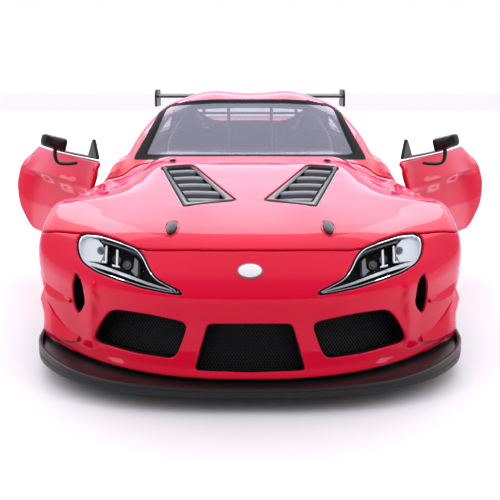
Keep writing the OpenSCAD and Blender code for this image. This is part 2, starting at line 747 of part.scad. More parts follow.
module roll_cage() {
    color("#77797d") {
        both() {
            pipe([25.6, 20, 5.7], [25.6, 20, 35], 0.7);
            pipe([25.6, 20, 35], [17.5, 18, 46], 0.7);
            pipe([17.5, 18, 46], [15.6, 44, 38.6], 0.6);
            pipe([7, 18, 46], [7, 20, 32.6], 0.55);
        }
        pipe([-17.5, 18, 46], [17.5, 18, 46], 0.7);
        pipe([-25.6, 20, 32.6], [25.6, 20, 32.6], 0.6);
    }
}

body_shell();
front_bumper();
hood();
door_left();
door_right();
door_left_panel();
door_right_panel();
door_left_arms();
door_right_arms();
door_hinge_pins();
door_left_trim();
door_right_trim();
door_left_mirror();
door_right_mirror();
door_left_mirror_glass();
door_right_mirror_glass();
hood_vent_frames();
hood_vent_louvres();
hood_pins();
hood_arms();
hood_hinge_pins();
nose_badge();
headlight_lenses();
headlight_buckets();
headlight_reflectors();
centre_grille();
side_grilles();
inlet_screens();
front_splitter();
canards();
windshield();
rear_window();
quarter_windows();
taillights();
rear_diffuser();
exhaust_tips();
rear_wing();
wing_endplates();
wing_stands();
side_skirts();
chassis_plate();
chassis_screws();
front_axle();
rear_axle();
front_tyres();
rear_tyres();
front_rims();
rear_rims();
front_discs();
rear_discs();
engine_bay();
engine();
radiator();
strut_brace();
interior_tub();
dashboard();
steering_wheel();
seats();
harnesses();
roll_cage();
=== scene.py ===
"""Looks of the 1:24 diecast coupe: lacquered panels, lamps, glazing, wheels and cabin."""
import math

import bpy
import numpy as np
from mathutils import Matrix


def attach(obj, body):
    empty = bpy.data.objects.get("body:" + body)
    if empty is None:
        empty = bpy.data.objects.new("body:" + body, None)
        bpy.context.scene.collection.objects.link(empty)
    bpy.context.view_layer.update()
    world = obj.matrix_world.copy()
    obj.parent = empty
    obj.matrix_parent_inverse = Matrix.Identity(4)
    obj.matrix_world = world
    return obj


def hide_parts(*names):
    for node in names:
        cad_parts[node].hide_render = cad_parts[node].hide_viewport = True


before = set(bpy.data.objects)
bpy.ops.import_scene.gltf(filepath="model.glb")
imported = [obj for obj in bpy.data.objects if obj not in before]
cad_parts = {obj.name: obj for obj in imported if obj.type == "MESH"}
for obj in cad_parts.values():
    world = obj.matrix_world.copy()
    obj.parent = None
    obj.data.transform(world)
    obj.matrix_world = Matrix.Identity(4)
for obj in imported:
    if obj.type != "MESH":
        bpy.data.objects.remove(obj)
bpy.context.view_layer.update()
MM = 0.001
# front outlines are drawn on the plane Y -80, as seen from this point
EYE = np.array([0, -200, 53.0])
PLANE_Y = -80
SIGHT = PLANE_Y - EYE[1]
FRONT_AXLE, REAR_AXLE, AXLE_Z = -53, 50, 13.2
FRONT_ARCH, REAR_ARCH = 14.6, 15.0   # radii
NOSE_END = -58.15   # where the nose piece ends at the sides

# ---------------------------------------------------------------- body surface, in millimetres


def curve(points):
    """Monotone cubic through [(position, value)], straight beyond the ends."""
    xs, ys = np.array(points, float).T
    h = np.diff(xs)
    d = np.diff(ys) / h
    m = np.r_[d[0], np.zeros(len(xs) - 2), d[-1]]
    for i in range(1, len(xs) - 1):
        if d[i - 1] * d[i] > 0:
            a, b = 2 * h[i] + h[i - 1], h[i] + 2 * h[i - 1]
            m[i] = (a + b) / (a / d[i - 1] + b / d[i])

    def f(x):
        x = np.asarray(x, float)
        c = np.clip(x, xs[0], xs[-1])
        i = np.clip(np.searchsorted(xs, c) - 1, 0, len(xs) - 2)
        t = (c - xs[i]) / h[i]
        v = (1 + 2 * t) * (1 - t) ** 2 * ys[i] + t * (1 - t) ** 2 * h[i] * m[i]
        v = v + t * t * (3 - 2 * t) * ys[i + 1] + t * t * (t - 1) * h[i] * m[i + 1]
        return v + np.where(x < c, (x - c) * m[0], 0) + np.where(x > c, (x - c) * m[-1], 0)

    return f


def smax(a, b, k):
    """The larger of a and b, blended over k."""
    h = np.maximum(k - np.abs(a - b), 0) / k
    return np.maximum(a, b) + h * h * k * 0.25


def step(a, b, x):
    t = np.clip((x - a) / (b - a), 0, 1)
    return t * t * (3 - 2 * t)


def bell(u):
    return np.exp(-u * u)


CROWN = curve([(-92, 18.3), (-91, 19.6), (-89.6, 21.8), (-88, 23.3), (-84.5, 25.9), (-80, 27.5),
               (-72, 29.3), (-65, 30.7), (-53, 33.1), (-42, 35.2), (-31, 36.3), (-10, 36.6), (20, 37),
               (45, 37.6), (62, 38), (76, 38.8), (86, 40.4), (92, 41)])
FALL = curve([(-88, 0), (-80, 0.3), (-72, 0.6), (-60, 0.6), (-53, 1.8), (-42, 5.2), (-32, 5.9),
              (-27, 3.6), (-22, 1.6), (-10, 1.2), (20, 0.6), (45, 0.6), (62, 1), (92, 2.5)])
HALF = curve([(-92, 41.5), (-60, 41.9), (-53, 42.3), (-44, 42.2), (-36, 40.6), (-28, 39), (-12, 38.4),
              (8, 38.5), (17, 38.9), (24, 40.4), (30, 41.6), (38, 42.7), (50, 43), (62, 42.8), (72, 41.8),
              (84, 39.4), (92, 37.5)])
NOSE = curve([(3, -92.3), (5, -92), (6.5, -91.2), (9.5, -90.4), (13.7, -89.9), (16, -90.4),
              (19.5, -91.6), (24, -92)])
TAIL = curve([(3, 84), (8, 86.5), (14, 89), (22, 90), (30, 89.5), (38, 90.5), (42, 91.5)])
CABIN = curve([(-34, 25.5), (-24, 30), (-10, 32.6), (5, 33.4), (20, 32.6), (35, 30.4), (50, 27),
               (62, 24), (75, 20)])
ROOF = curve([(-30, 44), (-12, 48.4), (-4, 49.7), (0, 50.2), (8, 50.6), (20, 49.9), (34, 47.6),
              (48, 44.3), (60, 41.2), (72, 38.6), (84, 36)])


# shoulder along the doors and over the rear wheels: crease height, top edge height and half width
CREASE_Z = curve([(-30, 25), (-17, 25.6), (22, 28), (40, 29.5), (60, 31), (80, 33), (92, 34)])
BELT_H = curve([(-30, 34.4), (26, 35), (45, 36.2), (70, 37.5), (92, 39.5)])
BELT_W = curve([(-30, 36), (0, 35.4), (8, 34.6), (16, 32.8), (26, 30.8), (36, 30.5), (50, 31.5),
                (62, 33), (75, 34), (92, 34)])


def sweep(a):
    return 10.5 * (a / 30) ** 2.4


def top_z(a, y):
    base = CROWN(y - sweep(a) * (1 - step(-84, -31, y))) - FALL(y) * step(19, 34, a)
    dip = 1.4 * step(31, 38, a) * bell((y + 44) / 10)
    # long bulges over the hood, either side of a shallow centre valley
    bulge = 0.35 * bell((a - 9 - 0.12 * (y + 84)) / 5) * step(-80, -66, y) * (1 - step(-42, -34, y))
    return base - dip + bulge


def side_x(y, z):
    mid = step(-30, -22, y) * (1 - step(18, 30, y))
    w = HALF(y) - (0.017 - 0.004 * mid - 0.013 * bell((y + 56) / 17)) * np.maximum(z - 16, 0) ** 2
    w = w - 0.006 * np.maximum(13 - z, 0) ** 2 * step(-40, -25, y) * (1 - step(20, 34, y))
    # hollow under the crease that runs back along the door, deepest just below it
    t = CREASE_Z(y) - z
    hollow = step(0, 1.3, t) * bell(np.maximum(t - 1, 0) / 7) * step(-30, -16, y) * (1 - step(14, 26, y))
    return w - 1.3 * hollow


def shoulder(a, y, z):
    ac, zc = HALF(y) - 0.5, CREASE_Z(y)
    u, v = ac - BELT_W(y), BELT_H(y) - zc
    return ((z - zc) * u + (a - ac) * v) / np.hypot(u, v) - 3 * (1 - step(-2, 12, y))


def ridge(a, y, z):
    """The sharp fold that drops from each lamp past the outer end of the side mouth."""
    k = SIGHT / np.maximum(y - EYE[1], 1)
    u, w = a * k, EYE[2] + (z - EYE[2]) * k
    across = u - 28.9 + 0.05 * (w - 9)
    shape = np.where(across > 0, bell(across / 1.6), bell(across / 0.7))
    return 0.6 * shape * step(5, 8, w) * (1 - step(16.5, 20, w)) * (y < -55)


def body(p):
    x, y, z = p[..., 0], p[..., 1], p[..., 2]
    a = np.abs(x)
    f = smax(z - top_z(a, y), NOSE(z) + sweep(a) - y, 2.4)
    f = smax(f, a - side_x(y, z), 2.2) - ridge(a, y, z)
    f = smax(f, shoulder(a, y, z), 1.5)
    f = smax(f, y - TAIL(z) + 7.5 * (a / 36) ** 3, 2.5)
    f = smax(f, 4.5 - z, 0.6)
    r = ROOF(y) + 0.9 * bell((a - 11.5) / 6) * (1 - step(20, 55, y)) - 3.4 * (a / 25) ** 3
    s = 36.2 + 0.512 * (y + 31 - 4.2 * (a / 28) ** 2)
    g = CABIN(y) - 0.66 * (z - 36) - 0.01 * np.maximum(z - 36, 0) ** 2
    c = np.maximum(smax(smax(z - r, z - s, 2.0), a - g, 3.0), np.maximum(28 - z, y - 78))
    return -smax(-f, -c, 1.4)


def normal(p, f=body, e=0.04):
    g = np.stack([f(p + e * k) - f(p - e * k) for k in np.eye(3)], -1)
    return g / np.maximum(np.linalg.norm(g, axis=-1, keepdims=True), 1e-9)


def halve(is_inside, inner, outer, steps):
    """Brings the inner and the outer end of each search closer to the surface between them."""
    for _ in range(steps):
        mid = (inner + outer) / 2
        deep = is_inside(mid)
        inner, outer = np.where(deep, mid, inner), np.where(deep, outer, mid)
    return inner


def base_grid(row_mm, around):
    """Triangles over the whole body: rays from a spine, found by halving."""
    spine = np.array([[0, -60, 9.0], [0, 60, 8.0]])
    caps = int(70 / row_mm)
    rings = int(120 / row_mm)
    t = np.r_[np.linspace(0.1, 88.8, caps), np.full(rings, 90.0), np.linspace(91.2, 179.9, caps)]
    s = np.r_[np.zeros(caps), np.linspace(0, 1, rings), np.ones(caps)]
    o = spine[0] + (spine[1] - spine[0]) * s[:, None]
    phi = np.linspace(0, 2 * np.pi, around, endpoint=False)
    t = np.radians(t)[:, None]
    d = np.stack([np.sin(t) * np.sin(phi), -np.cos(t) + 0 * phi, np.sin(t) * np.cos(phi)], -1)
    o = o[:, None, :] + 0 * d
    t_in = halve(lambda m: body(o + d * m[..., None]) < 0, np.full(d.shape[:2], 2.0),
                 np.full(d.shape[:2], 75.0), 22)
    pts = (o + d * t_in[..., None]).reshape(-1, 3)
    i, j = np.meshgrid(np.arange(len(t) - 1), np.arange(around), indexing="ij")
    k = (j + 1) % around
    q = [i * around + j, i * around + k, (i + 1) * around + k, (i + 1) * around + j]
    q = np.stack([c.ravel() for c in q], -1)
    return pts, np.concatenate([q[:, [0, 1, 2]], q[:, [0, 2, 3]]])


def cut(pts, tris, field, level=0.0, keep=True):
    """Splits triangles along field = level; with keep, drops what is below it."""
    v = field(pts) - level
    v = np.where(np.abs(v) < 0.02, 0.0, v)
    s = np.sign(v)[tris]
    mixed = (s.max(1) > 0) & (s.min(1) < 0)
    done, rest = tris[~mixed], tris[mixed]
    if len(rest):
        e = np.sort(np.concatenate([rest[:, [0, 1]], rest[:, [1, 2]], rest[:, [2, 0]]]), 1)
        cross = v[e[:, 0]] * v[e[:, 1]] < 0
        uniq, inv = np.unique(e[cross], axis=0, return_inverse=True)
        w = (v[uniq[:, 0]] / (v[uniq[:, 0]] - v[uniq[:, 1]]))[:, None]
        ids = np.full(len(e), -1)
        ids[cross] = inv.ravel() + len(pts)
        ids = ids.reshape(3, -1).T
        pts = np.concatenate([pts, pts[uniq[:, 0]] * (1 - w) + pts[uniq[:, 1]] * w])
        v = np.r_[v, np.zeros(len(uniq))]
        out = [done]
        crossings = (ids >= 0).sum(1)
        for r in range(3):
            a, b, c = np.roll(rest, -r, 1).T
            ab, bc, ca = np.roll(ids, -r, 1).T
            m = (crossings == 2) & (bc < 0)
            out += [np.stack(k, -1) for k in (
                (a[m], ab[m], ca[m]), (ab[m], b[m], c[m]), (ab[m], c[m], ca[m]))]
            m = (crossings == 1) & (bc >= 0)
            out += [np.stack(k, -1) for k in ((a[m], b[m], bc[m]), (a[m], bc[m], c[m]))]
        tris = np.concatenate(out)
    else:
        tris = done
    if keep:
        tris = tris[v[tris].sum(1) > 0]
    return pts, tris


def compact(pts, tris):
    used, inv = np.unique(tris, return_inverse=True)
    return pts[used], inv.reshape(tris.shape)


def sight(p):
    """Where the line from EYE to each point meets the plane Y -80: |x| and z."""
    k = SIGHT / (p[..., 1] - EYE[1])
    return np.abs(p[..., 0]) * k, EYE[2] + (p[..., 2] - EYE[2]) * k


def onto(q, depth=0.0):
    """The outline points (x, z) of the plane Y -80 carried onto the body, then depth under its surface."""
    q = np.array(q, float)
    d = np.stack([q[:, 0], np.full(len(q), SIGHT), q[:, 1] - EYE[2]], -1)
    d /= np.linalg.norm(d, axis=1, keepdims=True)
    t = np.linspace(95, 220, 400)
    inside = body(EYE + d[:, None] * t[None, :, None]) < 0
    first = t[np.argmax(inside, 1)]
    first = halve(lambda m: body(EYE + d * m[:, None]) < 0, first, first - (t[1] - t[0]), 14)
    p = EYE + d * first[:, None]
    return p - normal(p) * depth


def even(half):
    """A closed outline from its right half, bottom to top."""
    return [(-half[0][0], half[0][1])] + half + [(-x, y) for x, y in half[:0:-1]]


def poly(q, x, y):
    """Signed distance to a closed outline, positive inside."""
    q = np.array(q, float)
    best = np.full(x.shape, 1e9)
    inside = np.zeros(x.shape, bool)
    for (ax, ay), (bx, by) in zip(q, np.roll(q, -1, 0)):
        dx, dy = bx - ax, by - ay
        if dx * dx + dy * dy < 1e-12:
            continue
        t = np.clip(((x - ax) * dx + (y - ay) * dy) / (dx * dx + dy * dy), 0, 1)
        best = np.minimum(best, np.hypot(x - ax - t * dx, y - ay - t * dy))
        if dy:
            inside ^= ((ay > y) != (by > y)) & (x < ax + (y - ay) * dx / dy)
    return np.where(inside, best, -best)


def soft(q, r, n=4):
    """A closed outline with its corners rounded off over at most r."""
    q = np.array(q, float)
    out = []
    for a, b, c in zip(np.roll(q, 1, 0), q, np.roll(q, -1, 0)):
        u, w = a - b, c - b
        lu, lw = np.linalg.norm(u), np.linalg.norm(w)
        p0, p1 = b + u / lu * min(r, lu * 0.48), b + w / lw * min(r, lw * 0.48)
        for t in np.linspace(0, 1, n + 1):
            out.append((1 - t) ** 2 * p0 + 2 * t * (1 - t) * b + t * t * p1)
    return np.array(out)


EDGE_REACH = 2.5   # further than this from an edge, a field's own value will do


def edge(f, p):
    """Distance along the surface to where f is 0, and the direction out of the panel there."""
    v = f(p)
    far = np.abs(v) > EDGE_REACH
    away = np.zeros(p.shape)
    q = p[~far]
    if len(q):
        g = np.stack([(f(q + 0.03 * k) - f(q - 0.03 * k)) / 0.06 for k in np.eye(3)], -1)
        n = normal(q)
        g -= (g * n).sum(-1, keepdims=True) * n
        size = np.maximum(np.linalg.norm(g, axis=-1), 0.2)
        v[~far] = v[~far] / size
        away[~far] = -g / size[:, None]
    return v, away

# ---------------------------------------------------------------- outlines

FAR_OUT = -9.0   # value of a field where it doesn't apply
# widths of the seams: round a closed door, at the nose, at the cowl and along the fenders
DOOR_GAP, NOSE_GAP, COWL_GAP, FENDER_GAP = 0.14, 0.24, 0.35, 0.4

LAMP = soft([(30.9, 26.2), (30.9, 24), (30.1, 22), (27.6, 20.2), (23.7, 18.7), (19.2, 17.2), (14.6, 16.2),
             (12.2, 15.9), (12.2, 16.8), (14, 17.7), (16.8, 19.3), (17.9, 21.1), (18.9, 23.6), (20.1, 25.1),
             (23.4, 26.5), (26.7, 27.6), (29.8, 27.8)], 0.9)
MOUTH = soft([(-7.8, 10.5), (7.8, 10.5), (10.4, 1.5), (0, 1.1), (-10.4, 1.5)], 1.0)
SIDE_MOUTH = soft([(28.6, 7.2), (27.9, 9.8), (26, 12.7), (24.5, 13.3), (18.2, 12.3), (11.3, 10.7),
                   (12.5, 7.1), (13.9, 3.7), (21.2, 4.9)], 1.6)
INLET = soft([(31.3, 20.7), (30.3, 18.5), (29.9, 14.6), (30.6, 13.2), (31.4, 12.5), (32, 14.6),
              (32, 18.1)], 0.8)
SHIELD = soft(even([(18.3, 41.1), (16.3, 45.1), (14.5, 49.1), (13.6, 49.8), (11, 50.05), (6, 50.3)]), 0.7)
PILLAR = even([(20, 40.4), (19.8, 41.1), (14.8, 49.4), (13.4, 50.15), (11, 50.35), (6, 50.6)])
VENT = soft([(2.4, -64.5), (12.9, -68.3), (20.3, -43), (12.9, -42.4)], 1.2)
DOOR = soft([(-24, 10.4), (-24, 34.4), (26.5, 34.8), (27.6, 31), (27, 24), (24.5, 17), (20.5, 12),
             (18, 10.4)], 1.2)
# the strip that joins the doorway to the side window
DOOR_TOP = [(-20.2, 34), (22.7, 34), (22.7, 35.6), (-20.2, 35.6)]
SIDE_GLASS = soft([(-20.5, 34.9), (-3.6, 44.6), (1.6, 46.6), (13, 47), (20, 45.6), (23, 35.1)], 1.2)
QUARTER = soft([(27, 37.2), (25.2, 44.6), (33, 43), (42, 38.6)], 1.5)
REAR = soft(even([(19.5, 37), (18.8, 43), (17.6, 49), (16, 55), (14, 61), (11.5, 66)]), 1.5)
SEAM = curve([(0, 25.73), (8.5, 25.65), (15.5, 25.36), (17.4, 25.25), (19.8, 25.4), (23.7, 26.09),
              (28, 26.35), (32, 26.0), (36.9, 25.73), (40.5, 25.24), (41, 25.22), (50, 25.2)])


def area(q, view, holds):
    """Depth inside outline q as view shows it, where holds(|x|, y, z) is true."""
    return lambda p: np.where(holds(np.abs(p[..., 0]), p[..., 1], p[..., 2]), poly(q, *view(p)), FAR_OUT)


def in_front(q, y1):
    return area(q, sight, lambda a, y, z: (y < y1) & (z > 5.2))


def from_side(q, x0):
    return area(q, lambda p: (p[..., 1], p[..., 2]), lambda a, y, z: a > x0)


lamp = in_front(LAMP, -50)
mouth = in_front(MOUTH, -70)
side_mouth = in_front(SIDE_MOUTH, -60)
inlet = in_front(INLET, -52)
shield = area(SHIELD, sight, lambda a, y, z: (y < -2.5) & (z > 34))
pillar = area(PILLAR, sight, lambda a, y, z: (y < -4) & (z > 34))
vent = area(VENT, lambda p: (np.abs(p[..., 0]), p[..., 1]), lambda a, y, z: z > 24)
rear_glass = area(REAR, lambda p: (p[..., 0], p[..., 1]), lambda a, y, z: (z > 38.2) & (y > 30))
door = from_side(DOOR, 26)
door_top = from_side(DOOR_TOP, 26)
side_glass = from_side(SIDE_GLASS, 14)
quarter = from_side(QUARTER, 14)


def arch(p):
    y, z = p[..., 1], p[..., 2]
    r = np.minimum(np.hypot(y - FRONT_AXLE, z - AXLE_Z) - FRONT_ARCH,
                   np.hypot(y - REAR_AXLE, z - AXLE_Z) - REAR_ARCH)
    return np.where(np.abs(p[..., 0]) > 24, -r, FAR_OUT)


def lamp_rear(p):
    a, y, z = np.abs(p[..., 0]), p[..., 1], p[..., 2]
    d = np.minimum.reduce([a - 14, 44 - a, z - 31, 35 - z])
    return np.where(y > 70, d, FAR_OUT)


def outlet(p):
    d = np.minimum(22 - np.abs(p[..., 0]), 11 - p[..., 2])
    return np.where(p[..., 1] > 80, d, FAR_OUT)


def outside(f):
    return lambda p: -f(p)


def doorway(p):
    return np.maximum(door(p), door_top(p))


def inset(f, c):
    """The same field moved inwards by c."""
    return lambda p: f(p) - c


def above_floor(p):
    return p[..., 2] - 4.9


def hood_rear(p):
    """Positive ahead of the hood's rear edge."""
    return -32.5 + 1.9 * step(22, 30, np.abs(p[..., 0])) - p[..., 1]


def hood_side(p):
    return p[..., 2] - SEAM(np.abs(p[..., 0]))


def behind_hood(p):
    return np.maximum(-hood_rear(p) - COWL_GAP, -hood_side(p) - FENDER_GAP + 0 * p[..., 0])

# ---------------------------------------------------------------- mesh tools

GRID = base_grid(1.0, 260)
HINGE = np.array([33.9, -30.3, 0])
DOOR_OPEN = 35   # degrees, at rest


def swung(v, side, turn=True):
    """Points or directions of a door carried to where it stands open about its pin."""
    t = math.radians(-DOOR_OPEN) * side
    m = np.array([[math.cos(t), -math.sin(t), 0], [math.sin(t), math.cos(t), 0], [0, 0, 1]])
    h = HINGE * [side, 1, 1] * (1 if turn else 0)
    return (np.asarray(v) - h) @ m.T + h


def make(name, verts, faces, mats, body="body", index=None, normals=None):
    """A mesh piece from millimetre vertices, riding on a body."""
    me = bpy.data.meshes.new(name)
    me.from_pydata((np.asarray(verts, float) * MM).tolist(), [], [list(map(int, f)) for f in faces])
    for m in mats:
        me.materials.append(m)
    me.polygons.foreach_set("use_smooth", [True] * len(me.polygons))
    if index is not None:
        me.polygons.foreach_set("material_index", np.asarray(index, int).tolist())
    if normals is not None:
        me.normals_split_custom_set_from_vertices(np.asarray(normals).tolist())
    me.update()
    ob = bpy.data.objects.new(name, me)
    bpy.context.scene.collection.objects.link(ob)
    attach(ob, body)
    return ob


def stand_in(ob, stands_for):
    """Hides the CAD node that a piece stands for."""
    if stands_for:
        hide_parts(stands_for)
    return ob


def panel(name, fields, mats, body_name="body", thick=1.1, roll=0.25, depth=0.0, side=0, tint=(),
          place=None, sheet=False, stands_for=None, slot=None):
    """A piece of the body's skin: where every field is positive, its edges rolled in.

    mats: outer, inner, then one for each field in tint, which recolours the outer face."""
    pts, tris = GRID
    if side:
        tris = tris[(pts[tris][:, :, 0] * side).max(1) > -0.01]
    for f in fields:
        tris = tris[f(pts)[tris].max(1) > 0]
    pts, tris = compact(pts, tris)
    levels = (0, roll * 0.3, roll) if roll else (0,)
    for level in levels:
        for f in fields:
            pts, tris = cut(pts, tris, lambda p: edge(f, p)[0], level, level == 0)
    for f in tint:
        pts, tris = cut(pts, tris, lambda p: edge(f, p)[0], 0, False)
    pts, tris = compact(pts, tris)
    s, away = np.full(len(pts), 9.0), np.zeros(pts.shape)
    for f in fields:
        d, a = edge(f, pts)
        m = d < s
        s[m], away[m] = d[m], a[m]
    n = normal(pts)
    q = np.clip(1 - s / roll, 0, 1) if roll else np.zeros(len(pts))
    up = np.sqrt(1 - q * q)
    outer = pts - n * (depth + (roll or 0) * (1 - up))[:, None]
    index = np.zeros(len(tris), int)
    mid = pts[tris].mean(1)
    for k, f in enumerate(tint):
        index[f(mid) > 0] = 2 + k
    e = np.concatenate([tris[:, [0, 1]], tris[:, [1, 2]], tris[:, [2, 0]]])
    _, inv, times = np.unique(np.sort(e, 1), axis=0, return_inverse=True, return_counts=True)
    rim = e[times[inv.ravel()] == 1]
    ids, loc = np.unique(rim, return_inverse=True)
    loc = loc.reshape(rim.shape)
    base = len(pts)
    low = pts - n * (depth + thick)
    verts = np.concatenate([outer, outer[ids], low[ids], low])
    norms = np.concatenate([n * up[:, None] + away * q[:, None], away[ids], away[ids], -n])
    norms[np.linalg.norm(norms, axis=1) < 0.1] = (0, 0, 1)
    k = len(ids)
    quads = np.stack([loc[:, 1] + base, loc[:, 0] + base, loc[:, 0] + base + k, loc[:, 1] + base + k], -1)
    inner = tris[:, ::-1] + base + 2 * k
    faces = tris.tolist() + quads.tolist() + inner.tolist()
    index = np.concatenate([index, np.zeros(len(quads), int), np.ones(len(inner), int)])
    if sheet:
        faces, index = faces[:len(tris)], index[:len(tris)]
    if place:
        verts, norms = place(verts), place(norms, turn=False)
    norms /= np.linalg.norm(norms, axis=1, keepdims=True)
    return stand_in(make(name, verts, faces, mats, body_name, index, norms), stands_for)


class Bits:
    """Collects several simple forms into one piece, in millimetres."""

    def __init__(self):
        self.v, self.f, self.m = [], [], []

    def add(self, part, mat=0):
        v, f = part
        k = len(self.v)
        self.v += [tuple(p) for p in np.asarray(v, float)]
        self.f += [tuple(int(i) + k for i in q) for q in f]
        self.m += [mat] * len(f)
        return self

    def piece(self, name, mats, body="body", stands_for=None, slot=None, place=None, angle=35):
        v = np.array(self.v)
        ob = make(name, place(v) if place else v, self.f, mats, body, self.m)
        ob.data.set_sharp_from_angle(angle=math.radians(angle))
        w = ob.modifiers.new("even shading", "WEIGHTED_NORMAL")
        w.keep_sharp = True
        return stand_in(ob, stands_for)

    def both(self, part, mat=0):
        """Adds a part and its mirror image across the car."""
        return self.add(part, mat).add(mirrored(part), mat)

    def mirror(self):
        """Adds the mirror image of all that is here so far."""
        v, f = mirrored((self.v, self.f))
        k = len(self.v)
        self.f += [tuple(i + k for i in q) for q in f]
        self.m += self.m
        self.v += [tuple(p) for p in v]
        return self


def flipped(part):
    """The same form with its faces turned the other way."""
    return part[0], [tuple(q)[::-1] for q in part[1]]


def mirrored(part):
    v, f = flipped(part)
    return np.asarray(v, float) * [-1, 1, 1], f


def grid_faces(rows, cols, closed=True):
    """Quads between neighbouring rows of points, and round each row where it is closed."""
    out = []
    for i in range(rows - 1):
        for j in range(cols if closed else cols - 1):
            k = (j + 1) % cols
            out.append((i * cols + j, i * cols + k, (i + 1) * cols + k, (i + 1) * cols + j))
    return out


def loft(rings, caps=True):
    """Closed form through equal rings of points, running round each ring."""
    n = len(rings[0])
    v = np.concatenate([np.asarray(r, float) for r in rings])
    f = grid_faces(len(rings), n)
    if caps:
        f = f + [tuple(range(n))[::-1], tuple(range((len(rings) - 1) * n, len(rings) * n))]
    return v, f


def oriented(q):
    q = np.asarray(q, float)
    x, y = q.T
    return q if (x * np.roll(y, -1) - y * np.roll(x, -1)).sum() > 0 else q[::-1]


def outward(q):
    """Unit directions out of an oriented outline, one at each point."""
    t = np.roll(q, -1, 0) - np.roll(q, 1, 0)
    t /= np.maximum(np.linalg.norm(t, axis=1, keepdims=True), 1e-9)
    return np.stack([t[:, 1], -t[:, 0]], -1)


def shrunk(q, d):
    q = oriented(q)
    return q - outward(q) * d


ROUND_STEPS = 3


def plate(q, z0, z1, r, to=None):
    """A slab with outline q between z0 and z1, its edges rounded by r."""
    q = oriented(q)
    out = outward(q)
    turn = np.linspace(0, math.pi / 2, ROUND_STEPS + 1)
    rings = [np.c_[q - out * r * (1 - math.sin(a)),
                   np.full(len(q), z0 + r * (1 - math.cos(a)))] for a in turn]
    rings += [np.c_[q - out * (r * (1 - math.sin(a))), np.full(len(q), z1 - r * (1 - math.cos(a)))]
              for a in np.linspace(math.pi / 2, 0, ROUND_STEPS + 1)]
    if to:
        rings = [to(p) for p in rings]
    return loft(rings)


def upright(p):
    """Outline drawn as (y, z), thickness along x."""
    return p[:, [2, 0, 1]]


def rect(x0, x1, y0, y1, r=0.0):
    q = [(x0, y0), (x1, y0), (x1, y1), (x0, y1)]
    return soft(q, r) if r else np.array(q, float)


def slab(a, b, r=0.25, corner=0.4):
    """A block between two corners with rounded edges."""
    (x0, y0, z0), (x1, y1, z1) = a, b
    return plate(rect(x0, x1, y0, y1, min(corner, (x1 - x0) * 0.4, (y1 - y0) * 0.4)), z0, z1,
                 min(r, (z1 - z0) * 0.45, (x1 - x0) * 0.4, (y1 - y0) * 0.4))


def smooth_path(p, n=6):
    """Catmull-Rom through the points, n steps between each pair."""
    p = np.asarray(p, float)
    q = np.vstack([2 * p[0] - p[1], p, 2 * p[-1] - p[-2]])
    out = []
    for i in range(1, len(q) - 2):
        for t in np.linspace(0, 1, n, endpoint=False):
            a, b, c, d = q[i - 1:i + 3]
            out.append(0.5 * (2 * b + (c - a) * t + (2 * a - 5 * b + 4 * c - d) * t * t
                              + (3 * b - a - 3 * c + d) * t ** 3))
    out.append(p[-1])
    return np.array(out)


def tube(path, r, n=10, flat=1.0):
    """A round bar along a path, flattened by flat; r may be a number or one for each point."""
    p = np.asarray(path, float)
    t = np.gradient(p, axis=0)
    t /= np.linalg.norm(t, axis=1, keepdims=True)
    ref = np.array([0, 0, 1.0]) if abs(t[0][2]) < 0.9 else np.array([1.0, 0, 0])
    r = np.broadcast_to(r, len(p))
    rings = []
    for i in range(len(p)):
        u = np.cross(t[i], ref)
        u /= np.linalg.norm(u)
        w = np.cross(u, t[i])
        ref = w
        a = np.linspace(0, 2 * math.pi, n, endpoint=False)[:, None]
        rings.append(p[i] + r[i] * (np.cos(a) * u + np.sin(a) * w * flat))
    return flipped(loft(rings))


def turned(profile, n, to):
    """Surface of revolution about Z from (radius, height) points that run up the outside and close."""
    a = np.linspace(0, 2 * math.pi, n, endpoint=False)
    v = np.concatenate([np.c_[r * np.cos(a), r * np.sin(a), np.full(n, h)] for r, h in profile])
    k = len(profile)
    f = grid_faces(k, n) + [((k - 1) * n + j, (k - 1) * n + (j + 1) % n, (j + 1) % n, j) for j in range(n)]
    return to(v), f


def disc(r, z0, z1, n, to, inner=0.02):
    return turned([(inner, z0), (r, z0), (r, z1), (inner, z1)], n, to)


def facing_side(x, y, z):
    """Places a form so that its axis runs along x."""
    return lambda p: np.c_[x + p[:, 2], y + p[:, 0], z + p[:, 1]]


def facing_tail(x, y, z):
    """Places a form so that its axis runs along y."""
    return lambda p: np.c_[x + p[:, 0], y + p[:, 2], z + p[:, 1]]


def patch(q, depth, thick):
    """A small insert facing forward, outline q on the plane Y -80, its face depth under the skin."""
    q = oriented(q)
    n = len(q)
    v = np.concatenate([onto(q, depth), onto(q, depth + thick)])
    return v, [tuple(range(n))] + [(j, j + n, (j + 1) % n + n, (j + 1) % n) for j in range(n)]


def ribbon(upper, lower, depth, thick):
    """A band between two lines on the plane Y -80, raised to depth under the skin."""
    up, lo = smooth_path(upper, 4), smooth_path(lower, 4)
    n = len(up)
    v = np.concatenate([onto(up, depth + thick), onto(up, depth), onto(lo, depth), onto(lo, depth + thick)])
    f = []
    for r in range(3):
        f += [(r * n + j, r * n + j + 1, (r + 1) * n + j + 1, (r + 1) * n + j) for j in range(n - 1)]
    return v, f


def rim_of(q):
    """The closed outline turned into a list that ends where it began."""
    return np.vstack([q, q[:1]])

# ---------------------------------------------------------------- finishes


def node(tree, kind, inputs, **settings):
    """A shader node: its settings first, then each input's value or the socket that feeds it."""
    n = tree.nodes.new("ShaderNode" + kind)
    for key, value in settings.items():
        setattr(n, key, value)
    return fill(tree, n, inputs)


def fill(tree, n, inputs):
    for key, value in inputs.items():
        if isinstance(value, bpy.types.NodeSocket):
            tree.links.new(value, n.inputs[key])
        else:
            n.inputs[key].default_value = value
    return n


